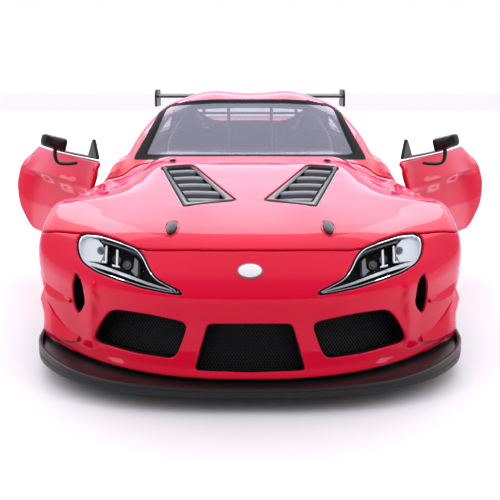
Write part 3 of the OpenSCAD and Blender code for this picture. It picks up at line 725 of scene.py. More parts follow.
def blank(name, inputs):
    """A new material, its node tree and its main shader with the given inputs."""
    m = bpy.data.materials.new(name)
    m.use_nodes = True
    return m, m.node_tree, fill(m.node_tree, m.node_tree.nodes["Principled BSDF"], inputs)


def finish(name, base, rough=0.5, metal=0.0, coat=0.0, coat_rough=0.05, grain=0.0, grain_size=0.4,
           mottle=0.0, spec=0.5, worn=0.0, **sockets):
    """Shader nodes for one material: tone and gloss that vary, and a fine surface relief, sizes in mm."""
    m, t, shader = blank(name, {
        "Base Color": (*base, 1), "Roughness": rough, "Metallic": metal, "Coat Weight": coat,
        "Coat Roughness": coat_rough, "Specular IOR Level": spec,
        **{k.replace("_", " "): v for k, v in sockets.items()}})
    where = node(t, "TexCoord", {}).outputs["Object"]
    clouds = node(t, "TexNoise",
                  {"Scale": 1000 / (grain_size * 12), "Detail": 4, "Vector": where}).outputs["Fac"]
    if mottle:
        low, high = ((*[min(1, c * k) for c in base], 1) for k in (1 - mottle, 1 + mottle))
        mix = node(t, "Mix", {"A": low, "B": high, "Factor": clouds}, data_type="RGBA")
        fill(t, shader, {"Base Color": mix.outputs["Result"]})
    gloss = node(t, "MapRange", {"To Min": max(rough - 0.04 - worn, 0), "To Max": rough + 0.04 + worn,
                                 "Value": clouds})
    fill(t, shader, {"Roughness": gloss.outputs["Result"]})
    if grain:
        fine = node(t, "TexNoise", {"Scale": 1000 / grain_size, "Detail": 3, "Vector": where})
        bump = node(t, "Bump", {"Strength": grain, "Distance": 0.00006, "Height": fine.outputs["Fac"]})
        fill(t, shader, {"Normal": bump.outputs["Normal"]})
    return m


def glass(name, tint, clear, base=0.1, rough=0.02, ior=1.45, coat=0.6, edge_gloss=0.5):
    """See-through plastic: clear share passes straight through, the rest reflects as glass does."""
    m, t, shader = blank(name, {"Base Color": (*[c * base for c in tint], 1), "Roughness": rough, "IOR": ior,
                                "Coat Weight": coat})
    through = node(t, "BsdfTransparent", {"Color": (*[0.75 + 0.25 * c for c in tint], 1)})
    where = node(t, "TexCoord", {}).outputs["Object"]
    clouds = node(t, "TexNoise", {"Scale": 90, "Vector": where})
    haze = node(t, "MapRange",
                {"To Min": clear - 0.03, "To Max": clear + 0.03, "Value": clouds.outputs["Fac"]})
    slant = node(t, "LayerWeight", {"Blend": 0.5})
    steep = node(t, "Math", {1: 4, 0: slant.outputs["Facing"]}, operation="POWER")
    rim = node(t, "Math", {1: edge_gloss, 0: steep.outputs["Value"]}, operation="MULTIPLY")
    share = node(t, "Math", {0: haze.outputs["Result"], 1: rim.outputs["Value"]}, operation="SUBTRACT",
                 use_clamp=True)
    mix = node(t, "MixShader", {"Fac": share.outputs["Value"], 1: shader.outputs["BSDF"],
                                2: through.outputs["BSDF"]})
    fill(t, t.nodes["Material Output"], {"Surface": mix.outputs["Shader"]})
    return m


RED = finish("red lacquer", (0.76, 0.0012, 0.034), 0.38, 0.0, 1.0, 0.02, 0.02, 0.5, 0.04, spec=0.0,
             Coat_IOR=1.3, Sheen_Weight=0.3, Sheen_Roughness=0.35, Sheen_Tint=(1, 0.3, 0.95, 1))
LINING = finish("red underside", (0.28, 0.003, 0.008), 0.5, 0, 0.2, 0.2, 0.2, 0.3, 0.15)
BLACK = finish("gloss black", (0.006, 0.006, 0.007), 0.25, 0, 0.35, 0.04, 0.05, 0.4, 0.2)
SATIN = finish("satin black", (0.007, 0.007, 0.0075), 0.38, 0, 0.1, 0.2, 0.25, 0.25, 0.25, spec=0.25)
VENT_BLACK = finish("vent black", (0.022, 0.022, 0.026), 0.3, 0, 0.3, 0.2, 0.2, 0.25, 0.2)
MATTE = finish("matte black", (0.004, 0.004, 0.0045), 0.75, 0, 0, 0.3, 0.5, 0.2, 0.3, 0.15)
TRIM = finish("cabin black", (0.02, 0.02, 0.022), 0.55, 0, 0, 0.3, 0.5, 0.25, 0.25)
STEEL = finish("bright steel", (0.62, 0.62, 0.64), 0.25, 1.0, 0, 0.1, 0.1, 0.2, 0.08)
CHROME = finish("vacuum chrome", (0.85, 0.86, 0.88), 0.07, 1.0, 0, 0.1, 0.03, 0.4, 0.03)
GREY = finish("vent grey", (0.17, 0.175, 0.19), 0.5, 0.2, 0.1, 0.3, 0.3, 0.2, 0.12)
CAGE = finish("cage grey", (0.2, 0.21, 0.22), 0.4, 0.1, 0.3, 0.2, 0.15, 0.25, 0.08)
RUBBER = finish("soft tyre", (0.012, 0.012, 0.012), 0.7, 0, 0, 0.3, 0.6, 0.2, 0.3, 0.3)
WHEEL = finish("wheel grey", (0.03, 0.03, 0.033), 0.35, 0.4, 0.3, 0.15, 0.1, 0.2, 0.15)
SUEDE = finish("cloth-look black", (0.03, 0.03, 0.033), 0.85, 0, 0, 0.3, 0.9, 0.12, 0.35, 0.2)
BELT = finish("belt red", (0.5, 0.006, 0.012), 0.6, 0, 0, 0.3, 0.8, 0.1, 0.2, 0.3)
IRON = finish("engine grey", (0.09, 0.09, 0.1), 0.45, 0.5, 0, 0.3, 0.4, 0.2, 0.2)
FINS = finish("radiator grey", (0.12, 0.12, 0.13), 0.5, 0.6, 0, 0.3, 0.9, 0.15, 0.3)
WIRE = finish("mesh wire", (0.009, 0.009, 0.01), 0.45, 0, 0, 0.2, 0.1, 0.2, 0.2, 0.3)
WHITE = finish("white print", (0.85, 0.85, 0.85), 0.35, 0, 0.4, 0.1, 0.05, 0.3, 0.03)
SILVER_STRIP = finish("frosted strip", (0.5, 0.51, 0.53), 0.3, 0.3, 0.4, 0.1, 0.1, 0.3, 0.06)
FROST = finish("frosted reflector", (0.72, 0.74, 0.78), 0.3, 0, 0.7, 0.08, 0.15, 0.5, 0.05, spec=0.6)
LED = finish("lamp white", (0.9, 0.92, 0.95), 0.2, 0, 0.5, 0.05, 0.05, 0.3, 0.03)
CLEAR = glass("clear lens", (0.9, 0.95, 1), 0.97, base=0.02, ior=1.25, coat=0)
TINTED = glass("tinted glass", (0.52, 0.55, 0.7), 0.66, base=1.0, ior=1.35)
REAR_CLEAR = glass("rear plastic", (0.55, 0.6, 0.7), 0.93, base=0.6, ior=1.35, edge_gloss=0.2)
RED_LENS = glass("red lens", (0.75, 0.01, 0.02), 0.35, base=0.9)

# ---------------------------------------------------------------- painted panels

panel("painted_shell",
      [above_floor, behind_hood,
       *map(outside, (doorway, arch, shield, side_glass, quarter, rear_glass, lamp_rear, outlet)),
       lambda p: p[..., 1] + 58],
      [RED, LINING, MATTE], tint=[pillar], stands_for="body_shell", slot="red_paint")
panel("painted_bumper",
      [above_floor, lambda p: NOSE_END - p[..., 1], lambda p: -hood_side(p) - NOSE_GAP,
       *map(outside, (arch, lamp, mouth, side_mouth, inlet))],
      [RED, LINING], stands_for="front_bumper", slot="red_paint")
panel("painted_hood", [hood_rear, hood_side, outside(lamp), outside(vent)], [RED, LINING], "hood",
      stands_for="hood", slot="red_paint")

SIDES = ((1, "left"), (-1, "right"))
for side, word in SIDES:
    panel("painted_door_" + word, [inset(door, DOOR_GAP), outside(side_glass)], [RED, LINING],
          "door_" + word, 0.7, side=side, place=lambda v, turn=True: swung(v, side, turn),
          stands_for="door_" + word, slot="red_paint")

# ---------------------------------------------------------------- headlights


def strip(f, outer, inner):
    """The band of a field between two insets."""
    return [inset(f, outer), outside(inset(f, inner))]


def liner(name, fields, mats, thick, depth, body_name="body", **rest):
    """A panel with square edges, depth under the skin."""
    return panel(name, fields, mats, body_name, thick, 0, depth, **rest)


liner("lamp_bucket", [inset(lamp, 0.1), outside(arch)], [MATTE, MATTE], 0.5, 2.8,
      stands_for="headlight_buckets")
liner("lamp_bezel", strip(lamp, -0.1, 0.38), [MATTE, MATTE], 2.6, 0.45)
liner("lamp_trim", strip(lamp, 0.36, 0.5), [CHROME, BLACK], 0.9, 0.3)
liner("lamp_cover", [inset(lamp, 0.3)], [CLEAR, CLEAR], 0.3, 0.12, sheet=True,
      stands_for="headlight_lenses", slot="clear_lens")
lights = Bits()
for part, mat in (
        (patch([(25.95, 25.6), (25.7, 25.6), (25.99, 22.65), (26.26, 22.65)], 0.7, 0.25), 0),
        (patch([(26.8, 22.82), (26.1, 22.73), (26.1, 22.45), (26.8, 22.54)], 0.68, 0.25), 0),
        (patch([(24.06, 24.9), (23.78, 24.85), (24.04, 21.88), (24.33, 21.88)], 0.7, 0.25), 0),
        (patch([(24.98, 22.14), (23.7, 21.84), (23.7, 21.56), (24.99, 21.86)], 0.68, 0.25), 0),
        (patch([(21.2, 23.96), (20.6, 23.31), (20.9, 20.5), (21.35, 20.3), (22.06, 21.47), (21.5, 22.03)],
               1.6, 0.9), 2),
        (patch([(30.6, 25.9), (30.3, 27.3), (28.9, 27.3), (27.2, 26.9), (26.5, 25.9), (26.4, 24.1),
                (27.2, 22.7), (29.8, 22.8), (30.5, 24.0)], 0.85, 0.6), 4),
        (ribbon([(30.2, 23.3), (29.5, 22.75), (27.6, 22.2), (25, 21.25)],
                [(30.0, 22.7), (29.2, 21.95), (27.5, 21.4), (25, 20.5)], 0.75, 1.6), 4),
        (ribbon([(25, 21.25), (22.4, 20.15), (18.8, 18.6), (15.3, 17.45), (13.3, 16.75)],
                [(25, 20.5), (22.4, 19.45), (18.8, 18.1), (15.3, 17.1), (13.3, 16.6)], 0.8, 1.6), 3),
        (ribbon([(26.6, 26.85), (23.5, 25.8), (20.4, 24.5), (19.3, 23.3)],
                [(26.6, 26.5), (23.7, 25.5), (20.8, 24.3), (19.6, 23.2)], 0.9, 0.9), 5)):
    lights.both(part, mat)
bowl = np.array([(math.sin(a), math.cos(a)) for a in np.linspace(0, 2 * math.pi, 24, endpoint=False)])
for c, mat in (((26.85, 24.75), 2), ((24.95, 23.9), 5), ((23.0, 22.9), 5)):
    for radius, tone, front in ((0.8, mat, 0.12), (0.5, 5, 0.0)):
        lights.both(patch(bowl * radius + c, (0.72 if mat == 2 else 2.1) + front, 0.3), tone)
lights.piece("lamp_lights", [LED, CHROME, GREY, SILVER_STRIP, FROST, VENT_BLACK],
             stands_for="headlight_reflectors", slot="bright_steel")

# ---------------------------------------------------------------- grilles and inlets

openings = [mouth, side_mouth, inlet]
for f, word in zip(openings, ("centre", "side", "corner")):
    liner("duct_wall_" + word, strip(f, -0.25, 0.12), [MATTE, MATTE], 4.0, 0.3)
liner("duct_floors", [lambda p: np.maximum.reduce([f(p) for f in openings]) + 0.2], [MATTE, MATTE], 0.3, 4.2)


def mesh_lines(q, pitch):
    """Diamond wire mesh over an outline on the plane Y -80, as pieces of line."""
    q = np.asarray(q, float)
    lo, hi = q.min(0) - 1, q.max(0) + 1
    out = []
    for rising in (True, False):
        for c in np.arange(lo[0] - (hi[1] - lo[1]), hi[0] + (hi[1] - lo[1]), pitch):
            t = np.arange(lo[1], hi[1], 0.35)
            x = c + (t - lo[1] if rising else hi[1] - t) * 0.75
            good = poly(q, x, t) > 0.05
            cuts = np.flatnonzero(np.diff(good.astype(int)))
            for run in np.split(np.arange(len(t)), cuts + 1):
                if good[run[0]] and len(run) > 2:
                    keep = run[::3] if run[-1] in run[::3] else np.r_[run[::3], run[-1]]
                    out.append(np.c_[x[keep], t[keep]])
    return out


def grille(q, depth, pitch, wire, name, stands_for, frame_r):
    """Wire mesh behind an outline, and on both sides unless it is the middle one, with a rim of wire."""
    bits = Bits()
    add = bits.add if q is MOUTH else bits.both
    for run in mesh_lines(q, pitch):
        add(tube(onto(run, depth), wire, 4))
    add(tube(onto(rim_of(q), 1.05), frame_r, 6))
    return bits.piece(name, [WIRE], stands_for=stands_for, slot="satin_black", angle=60)


grille(MOUTH, 2.4, 0.62, 0.075, "grille_mesh_centre", "centre_grille", 0.16)
grille(SIDE_MOUTH, 2.4, 0.62, 0.075, "grille_mesh_sides", "side_grilles", 0.16)
grille(INLET, 2.0, 0.95, 0.11, "inlet_mesh", "inlet_screens", 0.12)

# ---------------------------------------------------------------- nose badge, left blank

badge = Bits()
ring_a = np.linspace(0, 2 * math.pi, 40, endpoint=False)


def dome(rx, rz, base, top, rise):
    """A low oval button on the nose, centred at (0, 20.5) of the plane Y -80."""
    rings = []
    for k, d in ((1.0, base), (1.0, top), (0.94, top - rise * 0.5), (0.6, top - rise * 0.85),
                 (0.2, top - rise)):
        q = np.c_[rx * k * np.cos(ring_a), 20.5 + rz * k * np.sin(ring_a)]
        rings.append(onto(q, d))
    return loft(rings[::-1])


badge.add(dome(2.3, 1.4, 0.15, -0.16, 0.1), 1)
badge.add(dome(2.08, 1.2, 0.0, -0.24, 0.12))
badge.piece("blank_badge", [WHITE, GREY], stands_for="nose_badge", slot="white_print")

# ---------------------------------------------------------------- hood furniture


def on_top(x, y, lift=0.0):
    """Points of the upper surface over (x, y), lifted along its normal."""
    x, y = np.broadcast_arrays(np.asarray(x, float), np.asarray(y, float))
    z = halve(lambda m: body(np.stack([x, y, m], -1)) < 0, np.full(x.shape, 20.0),
              np.full(x.shape, 60.0), 20)
    p = np.stack([x, y, z], -1)
    return p + normal(p) * lift


VENT_GAP = 0.45
VENT_IN = soft([(4.7, -63.4), (11.9, -66.0), (18.9, -44.0), (13.3, -43.5)], 0.9)
frames = Bits()
outer = oriented(shrunk(VENT, VENT_GAP))
inner_q = oriented(VENT_IN)
# the same number of points round both outlines, starting at matching corners
inner_q = np.roll(inner_q, -int(np.argmin(np.hypot(*(inner_q - outer[0]).T))), 0)
rings = [on_top(*q.T, lift) for q, lift in (
    (outer, -1.2), (outer, -0.12), (shrunk(outer, 0.22), 0.1), (shrunk(inner_q, -0.3), -0.05),
    (inner_q, -0.35), (inner_q, -1.4))]
frames.both(loft(rings, caps=False))
frames.piece("vent_frames", [VENT_BLACK], "hood", "hood_vent_frames", "satin_black")
slats = Bits()
for i in range(5):
    y0 = -65.2 + i * 4.4
    rows = []
    for u, rise in ((0.0, -1.5), (0.15, -0.42), (0.5, -0.2), (1.0, -0.16), (2.4, -0.5), (3.9, -1.05),
                    (4.9, -1.5)):
        y = y0 + u
        x0, x1 = 4.7 + 0.437 * (y + 63.4) + 0.25, 11.9 + 0.318 * (y + 66.0) - 0.25
        x0 = max(x0, 4.95 + max(0, (-63.4 - y)) * 2.6)
        rows.append(on_top(np.linspace(x0, max(x1, x0 + 0.5), 9), y, rise))
    v = np.concatenate(rows)
    slats.both((v, grid_faces(len(rows), 9, closed=False)))
slats.piece("vent_slats", [GREY], "hood", "hood_vent_louvres", "satin_black")
liner("vent_wells", [inset(vent, 0.3)], [MATTE, MATTE], 0.4, 2.2, "hood")
liner("vent_walls", strip(vent, -0.02, 0.3), [BLACK, MATTE], 1.6, 0.5, "hood")

pins = Bits()
c, s = np.cos(ring_a), np.sin(ring_a)
for (px, py), rx, ry in (((14.1, -77.2), 0.95, 2.5), ((17.9, -38.6), 0.7, 0.75)):
    ring = on_top(px + 1.42 * rx * np.r_[c, c[:1]], py + 1.2 * ry * np.r_[s, s[:1]], 0.02)
    pins.add(tube(ring, 0.1, 8), 1)
    rings = [on_top(px + rx * a * c, py + ry * a * s, h)
             for a, h in ((1, -0.2), (1, 0.28), (0.93, 0.42), (0.7, 0.5), (0.3, 0.54))]
    pins.add(loft(rings))
pins.mirror().piece("hood_pin_set", [SATIN, RED], "hood", "hood_pins", "gloss_black")

# ---------------------------------------------------------------- splitter, canards, skirts

half_edge = [(0, -95), (10, -94.7), (21, -92.8), (31, -88.0), (37.3, -81.6), (40.4, -75), (41.4, -68)]
front = smooth_path(half_edge)
outline = np.vstack([front, [(38.5, -66.6)], [(-38.5, -66.6)], (front * [-1, 1])[::-1][:-1]])
lip = Bits()
lip.add(plate(outline, 2.9, 4.3, 0.35))
blade = []
for x, y in np.vstack([(front[1:] * [-1, 1])[::-1], front]):
    d = np.array([x, y + 45]) / np.hypot(x, y + 45)
    rise = 1.15 * step(24, 41, abs(x))
    p = np.array([x, y]) - d * 0.5
    blade.append([(p[0] + d[0] * u, p[1] + d[1] * u, z + rise) for u, z in
                  ((-0.6, 3.4), (0.42, 3.4), (0.46, 3.8), (0.42, 4.5), (0.1, 4.62), (-0.3, 4.5))])
lip.add(loft(blade))
lip.piece("splitter", [SATIN], stands_for="front_splitter", slot="satin_black")


def fin(root, tip, thick):
    """A curved blade from a line on the skin out to its free edge."""
    a, b = smooth_path(root, 5), smooth_path(tip, 5)
    rings = []
    for p, q in zip(a, b):
        d = q - p
        length = np.linalg.norm(d)
        d = d / max(length, 1e-6)
        up = np.array([0, 0, 1.0]) - d * d[2]
        up /= np.linalg.norm(up)
        h = thick / 2
        ring = [p - d * 0.8 + up * h, p - d * 0.8 - up * h, p - up * h, q - d * 0.3 - up * h,
                q - up * h * 0.4, q + up * h * 0.4, q - d * 0.3 + up * h, p + up * h]
        rings.append(ring)
    return loft(rings)


canards = Bits()
for root, tip in (
        ([(33.3, -76.4, 13.9), (35.4, -74.2, 14.1), (37.8, -71.2, 14.9), (39.8, -68.6, 16.2),
          (41.6, -64.5, 17.4)],
         [(33.6, -76.9, 13.7), (36.0, -74.8, 13.3), (38.8, -71.6, 13.3), (40.6, -68.4, 14.4),
          (42.1, -64.6, 15.9)]),
        ([(31.6, -79.0, 7.5), (34.4, -76.2, 7.6), (37.2, -73.2, 8.6), (39.4, -70.0, 10.4),
          (41.2, -66.4, 12.6)],
         [(31.8, -79.6, 7.0), (34.9, -77.0, 6.3), (38.1, -73.6, 6.5), (40.1, -70.0, 8.3),
          (41.9, -66.4, 10.8)])):
    canards.both(fin(root, tip, 0.7))
canards.piece("dive_planes", [RED], stands_for="canards", slot="red_paint", angle=50)

# ---------------------------------------------------------------- glazing


def window(word, field, tone, stands_for, gap, thick, depth, seal_width, seal_mats, seal_thick, seal_depth):
    """A clear pane in an opening, and the dark seal along its edge."""
    liner(word + "_glass", [inset(field, gap)], [tone, tone], thick, depth, sheet=True,
          stands_for=stands_for, slot="tinted_glass")
    liner(word + "_seal", strip(field, -0.02, seal_width), seal_mats, seal_thick, seal_depth)


window("windshield", shield, TINTED, "windshield", 0.12, 0.6, 0.18, 0.3, [MATTE, MATTE], 0.8, 0.12)
window("rear", rear_glass, REAR_CLEAR, "rear_window", 0.15, 0.6, 0.15, 0.9, [BLACK, MATTE], 0.5, 0.1)
window("quarter", quarter, TINTED, "quarter_windows", 0.15, 0.5, 0.15, 0.5, [BLACK, MATTE], 0.5, 0.08)

# ---------------------------------------------------------------- doors: cards, trims and mirrors

CARD = soft([(-21.2, 11.6), (-21.2, 32.4), (25, 32.6), (26, 30), (25.4, 24), (23, 17.6), (19, 12.4),
             (17, 11.6)], 2)
card_field = from_side(CARD, 24)
for side, word in SIDES:
    body_name = "door_" + word

    def put(v):
        """A form drawn for the left door, in its place on this one."""
        return swung(v * [side, 1, 1], side)

    def add(bits, part, mat=0):
        bits.add(flipped(part) if side < 0 else part, mat)

    panel("door_card_" + word, [card_field], [TRIM, TRIM], body_name, 1.3, 0.3, 0.85, side,
          place=lambda v, turn=True: swung(v, side, turn), stands_for="door_%s_panel" % word,
          slot="cabin_black")
    fit = Bits()
    # armrest, pull handle, pocket, speaker rings and three switches on the inner face
    rest = soft([(-15, 24.6), (14, 23.2), (14, 25.6), (-15, 26.6)], 1.0)
    add(fit, plate(rest, 32.4, 34.5, 0.5, to=upright))
    add(fit, tube(smooth_path([(34.8, -3, 29.4), (33.2, -1.8, 29.2), (33.0, 3, 28.8), (33.2, 8, 28.4),
                               (34.8, 9.4, 28.3)], 5), 0.45), 1)
    pocket = soft([(-16, 12.8), (4, 12.8), (2.6, 17), (-16, 17.4)], 1.2)
    add(fit, plate(pocket, 34.6, 36.6, 0.5, to=upright))
    a = np.linspace(0, 2 * math.pi, 33)
    for rad in (2.6, 2.0, 1.4, 0.8):
        add(fit, tube(np.c_[np.full(33, 35.4), 12.6 + rad * np.cos(a), 18.4 + rad * np.sin(a)], 0.14, 6), 1)
    for k in range(3):
        y = -11.5 + 1.7 * k
        add(fit, plate(rect(y - 0.6, y + 0.6, 26.9, 27.8, 0.2), 33.5, 34.8, 0.15, to=upright), 1)
    fit.piece("door_fittings_" + word, [TRIM, SATIN], body_name, place=put)

    belt = Bits()
    line = smooth_path([(33.9, -22.4, 34.9), (34.4, -12, 34.9), (34.7, -2, 35.0), (34.4, 6.2, 35.1)])
    add(belt, tube(line, 0.42, 10, 0.8))
    add(belt, plate(soft([(-22.4, 34.9), (-20.6, 39.5), (-19.8, 39.5), (-16.2, 35.0)], 0.5), 33.4, 34.2, 0.2,
                    to=upright))
    belt.piece("door_belt_" + word, [SATIN], body_name, "door_%s_trim" % word, "satin_black", place=put)

    pod = Bits()
    shape = soft([(-3.2, -1.75), (3.1, -1.5), (3.3, 1.5), (-3.0, 1.95)], 0.9)

    def pod_at(p):
        """x, z outline and depth of the mirror pod to its place beside the door."""
        v = np.c_[p[:, 0], p[:, 2], p[:, 1]]
        t = math.radians(19)
        v = v @ np.array([[math.cos(t), 0, -math.sin(t)], [0, 1, 0], [math.sin(t), 0, math.cos(t)]]).T
        return v + [42.5, -15.9, 38.7]

    rings = []
    for depth, k in ((1.1, 0.86), (1.25, 0.93), (1.25, 1.0), (0.9, 1.02), (0.0, 1.0), (-0.8, 0.93),
                     (-1.3, 0.8), (-1.55, 0.55), (-1.62, 0.2)):
        rings.append(pod_at(np.c_[shape * k, np.full(len(shape), depth)]))
    v, f = loft(rings, caps=False)
    n = len(shape)
    f = f + [tuple(range(len(rings) * n - n, len(rings) * n))]
    add(pod, flipped((v, f)))
    add(pod, loft([pod_at(np.c_[shape * k, np.full(n, d)]) for d, k in ((1.1, 0.86), (0.75, 0.84))],
                  caps=False))
    add(pod, tube(smooth_path([(42.6, -16.2, 37.6), (42.8, -16.3, 35.6), (42.5, -16.4, 34.2),
                               (41.4, -16.5, 33.5), (39.2, -16.5, 33.3), (37.2, -16.4, 33.4)]),
                  np.linspace(0.5, 0.42, 31)))
    pod.piece("mirror_pod_" + word, [SATIN], body_name, "door_%s_mirror" % word, "satin_black", place=put)
    foil = Bits()
    add(foil, plate(shape * 0.84, 0.55, 0.8, 0.05, to=pod_at))
    foil.piece("mirror_foil_" + word, [CHROME], body_name, "door_%s_mirror_glass" % word, "mirror_foil",
               place=put)

# ---------------------------------------------------------------- wheels

TYRE = [(9.35, 0.9), (9.9, 0.55), (10.6, 0.3), (11.4, 0.12), (12.0, 0.1), (12.5, 0.3), (12.9, 0.75),
        (13.12, 1.4)]
TREAD = [(13.18, 2.2), (13.18, 2.9), (12.85, 3.0), (12.85, 3.35), (13.18, 3.45), (13.2, 4.9), (12.85, 5.0),
         (12.85, 5.5), (13.2, 5.6), (13.18, 7.05), (12.85, 7.15), (12.85, 7.5), (13.18, 7.6), (13.18, 8.3)]
TYRE = TYRE + TREAD + [(r, 10.5 - h) for r, h in TYRE[::-1]] + [(8.9, 9.2), (8.9, 1.3)]
RIM = [(8.95, 0.75), (9.45, 0.7), (9.6, 0.9), (9.3, 1.3), (8.75, 1.8), (8.75, 8.6), (9.2, 9.2), (9.55, 9.6),
       (9.5, 9.95), (9.2, 10.0), (8.85, 9.75), (8.35, 8.9), (8.25, 7.6), (8.3, 1.8)]
RIBS, SPOKES, NUTS = 40, 10, 5


def wheel_parts(y, name):
    body_name = name + "_wheels"
    tyres, rims = Bits(), Bits()
    to = facing_side(30.1, y, AXLE_Z)
    tyres.both(turned(TYRE, 96, to))
    # two plain ridges on the sidewall
    for rad in (11.0, 12.1):
        a = np.linspace(0, 2 * math.pi, 97)
        ring = to(np.c_[rad * np.cos(a), rad * np.sin(a), np.full(97, 10.38 if rad < 12 else 10.32)])
        tyres.both(tube(ring, 0.09, 6))
    # thin ribs across the outer shoulder of the tread
    for k in range(RIBS):
        c = 2 * math.pi * k / RIBS
        rad, h = np.array([(12.9, 8.6), (13.19, 8.7), (13.19, 8.9), (12.9, 9.6)]).T
        rings = []
        for w in (-0.05, 0.05):
            ang = c + (w + (h - 8.6) * 0.03)
            rings.append(to(np.c_[rad * np.cos(ang), rad * np.sin(ang), h]))
        tyres.both(loft(rings))
    tyres.piece(name + "_tyre_pair", [RUBBER], body_name, name + "_tyres", "soft_tyre", angle=40)

    rims.both(turned(RIM, 96, to))
    for k in range(SPOKES):
        c = 2 * math.pi * k / SPOKES + 0.1
        for fork in (-1, 1):
            rings = []
            for rad, half, z0, z1, off in ((1.7, 0.5, 6.4, 8.0, 0.25), (3.2, 0.42, 6.6, 8.35, 0.3),
                                           (5.5, 0.34, 7.0, 8.75, 0.55), (7.4, 0.36, 7.4, 9.05, 0.85),
                                           (8.6, 0.5, 7.3, 9.3, 1.05)):
                m = off * fork
                w = m + half * np.array([-1, -1, -0.5, 0.5, 1, 1])
                h = np.array([z0, z1 - 0.3, z1, z1, z1 - 0.3, z0])
                rings.append(to(np.c_[rad * math.cos(c) - w * math.sin(c),
                                      rad * math.sin(c) + w * math.cos(c), h]))
            rims.both(loft(rings))
    rims.both(turned([(1.0, 6.4), (2.5, 6.4), (2.6, 6.8), (2.6, 8.1), (2.3, 8.5), (1.5, 8.6), (1.4, 9.3),
                      (1.1, 9.5), (0.3, 9.5), (0.3, 9.0)], 48, to))
    for k in range(NUTS):
        c = 2 * math.pi * k / NUTS
        rims.both(disc(0.3, 8.4, 8.95, 6, lambda p: to(p + [1.9 * math.cos(c), 1.9 * math.sin(c), 0]),
                       inner=0.05), 1)
    rims.piece(name + "_rim_pair", [WHEEL, STEEL], body_name, name + "_rims", "wheel_grey")


wheel_parts(FRONT_AXLE, "front")
wheel_parts(REAR_AXLE, "rear")

# ---------------------------------------------------------------- tail


def on_tail(p, lift=0.0):
    """Points of the tail over (x, z), lifted along Y."""
    y = np.full(len(p), 80.0)
    y = halve(lambda m: body(np.c_[p[:, 0], m, p[:, 1]]) < 0, y, y + 14, 18)
    return np.c_[p[:, 0], y + lift, p[:, 1]]


lamps = Bits()
for k in range(5):
    x0 = 14.9 + k * 4.75
    q = rect(x0, x0 + 4.5, 31.3, 34.7, 0.5)
    mid = q.mean(0)
    lamps.both(loft([on_tail(q, -1.6), on_tail(q, -0.25), on_tail(mid + (q - mid) * 0.9, -0.05),
                     on_tail(mid + (q - mid) * 0.5, 0.02)]))
    for h in (32.0, 33.0, 34.0):
        bar = [on_tail(np.array([(u, h)]), -0.9)[0] for u in np.linspace(x0 + 0.4, x0 + 4.1, 5)]
        lamps.both(tube(bar, 0.22, 6), 1)
lamps.piece("tail_lamps", [RED_LENS, CHROME], stands_for="taillights", slot="red_lens")
liner("tail_lamp_pan", [inset(lamp_rear, -0.02), lambda p: p[..., 1] - 70], [BLACK, BLACK], 0.4, 1.9)

wing = Bits()
section = smooth_path([(95, 49.3), (91, 49.15), (87.5, 49.25), (84.5, 49.0), (83.1, 48.5), (83.4, 48.0),
                       (86, 47.7), (91, 48.1), (95, 49.15)], 4)
wing.add(loft([np.c_[np.full(len(section), x), section] for x in (36.95, 20, 0, -20, -36.95)]))
wing.piece("wing_blade", [SATIN], stands_for="rear_wing", slot="satin_black")
ends = Bits()
q = soft([(81.8, 44.4), (95, 44.4), (95, 50.1), (94.2, 51.1), (84, 51.1), (82, 48.8)], 0.7)
ends.both(plate(q, 37.0, 37.8, 0.25, to=upright))
for y in (85.5, 92.5):
    ends.both(disc(0.38, 0, 0.22, 6, facing_side(37.78, y, 48.5)), 1)
ends.piece("wing_ends", [SATIN, STEEL], stands_for="wing_endplates", slot="satin_black")
stands = Bits()
zt = float(on_top(18.5, 83)[2])
q = soft([(79.6, zt - 0.3), (87.0, zt + 0.6), (90.0, 48.1), (86.2, 47.9), (85.2, 45.5)], 0.8)
stands.both(plate(q, 18, 19, 0.25, to=upright))
stands.piece("wing_posts", [SATIN], stands_for="wing_stands", slot="satin_black")

under = Bits()
under.add(slab((-30, 66, 2.9), (30, 88.4, 4.3), 0.35, 3))
for x in (-24, -16, -8, 0, 8, 16, 24):
    q = soft([(74, 4.2), (88.2, 4.2), (88.4, 8.2), (86.5, 9.0), (76, 5.2)], 0.6)
    under.add(plate(q, x - 0.35, x + 0.35, 0.15, to=upright))
under.piece("tail_diffuser", [SATIN], stands_for="rear_diffuser", slot="satin_black")
pipes = Bits()
pipe = [(1.45, 0), (1.7, 0.1), (1.9, 0.6), (1.9, 11.4), (1.95, 11.6), (1.9, 11.8), (1.7, 11.85), (1.6, 11.7),
        (1.55, 11.2), (1.5, 3), (1.45, 2)]
pipes.both(flipped(turned(pipe, 48, facing_tail(12, 77.6, 6.8))))
pipes.both(disc(1.5, 0, 0.2, 32, facing_tail(12, 81, 6.8)), 1)
pipes.piece("tail_pipes", [STEEL, MATTE], stands_for="exhaust_tips", slot="bright_steel")

skirts = Bits()
q = smooth_path([(36, -36.4), (40.8, -35.4), (40.4, -30), (39.8, -24), (39.5, -8), (39.6, 8), (40.6, 20),
                 (41.8, 30), (41.6, 33.2), (36, 33.4)], 4)
skirts.both(plate(q, 2.9, 4.4, 0.4))
for y in np.arange(-30, 30, 7.5):
    screw = turned([(0.02, 0), (0.42, 0), (0.42, 0.14), (0.3, 0.22), (0.02, 0.22)], 16,
                   lambda p: p + [38.3, y, 4.38])
    skirts.both(screw, 1)
skirts.piece("sill_skirts", [SATIN, STEEL], stands_for="side_skirts", slot="satin_black")

# ---------------------------------------------------------------- cabin

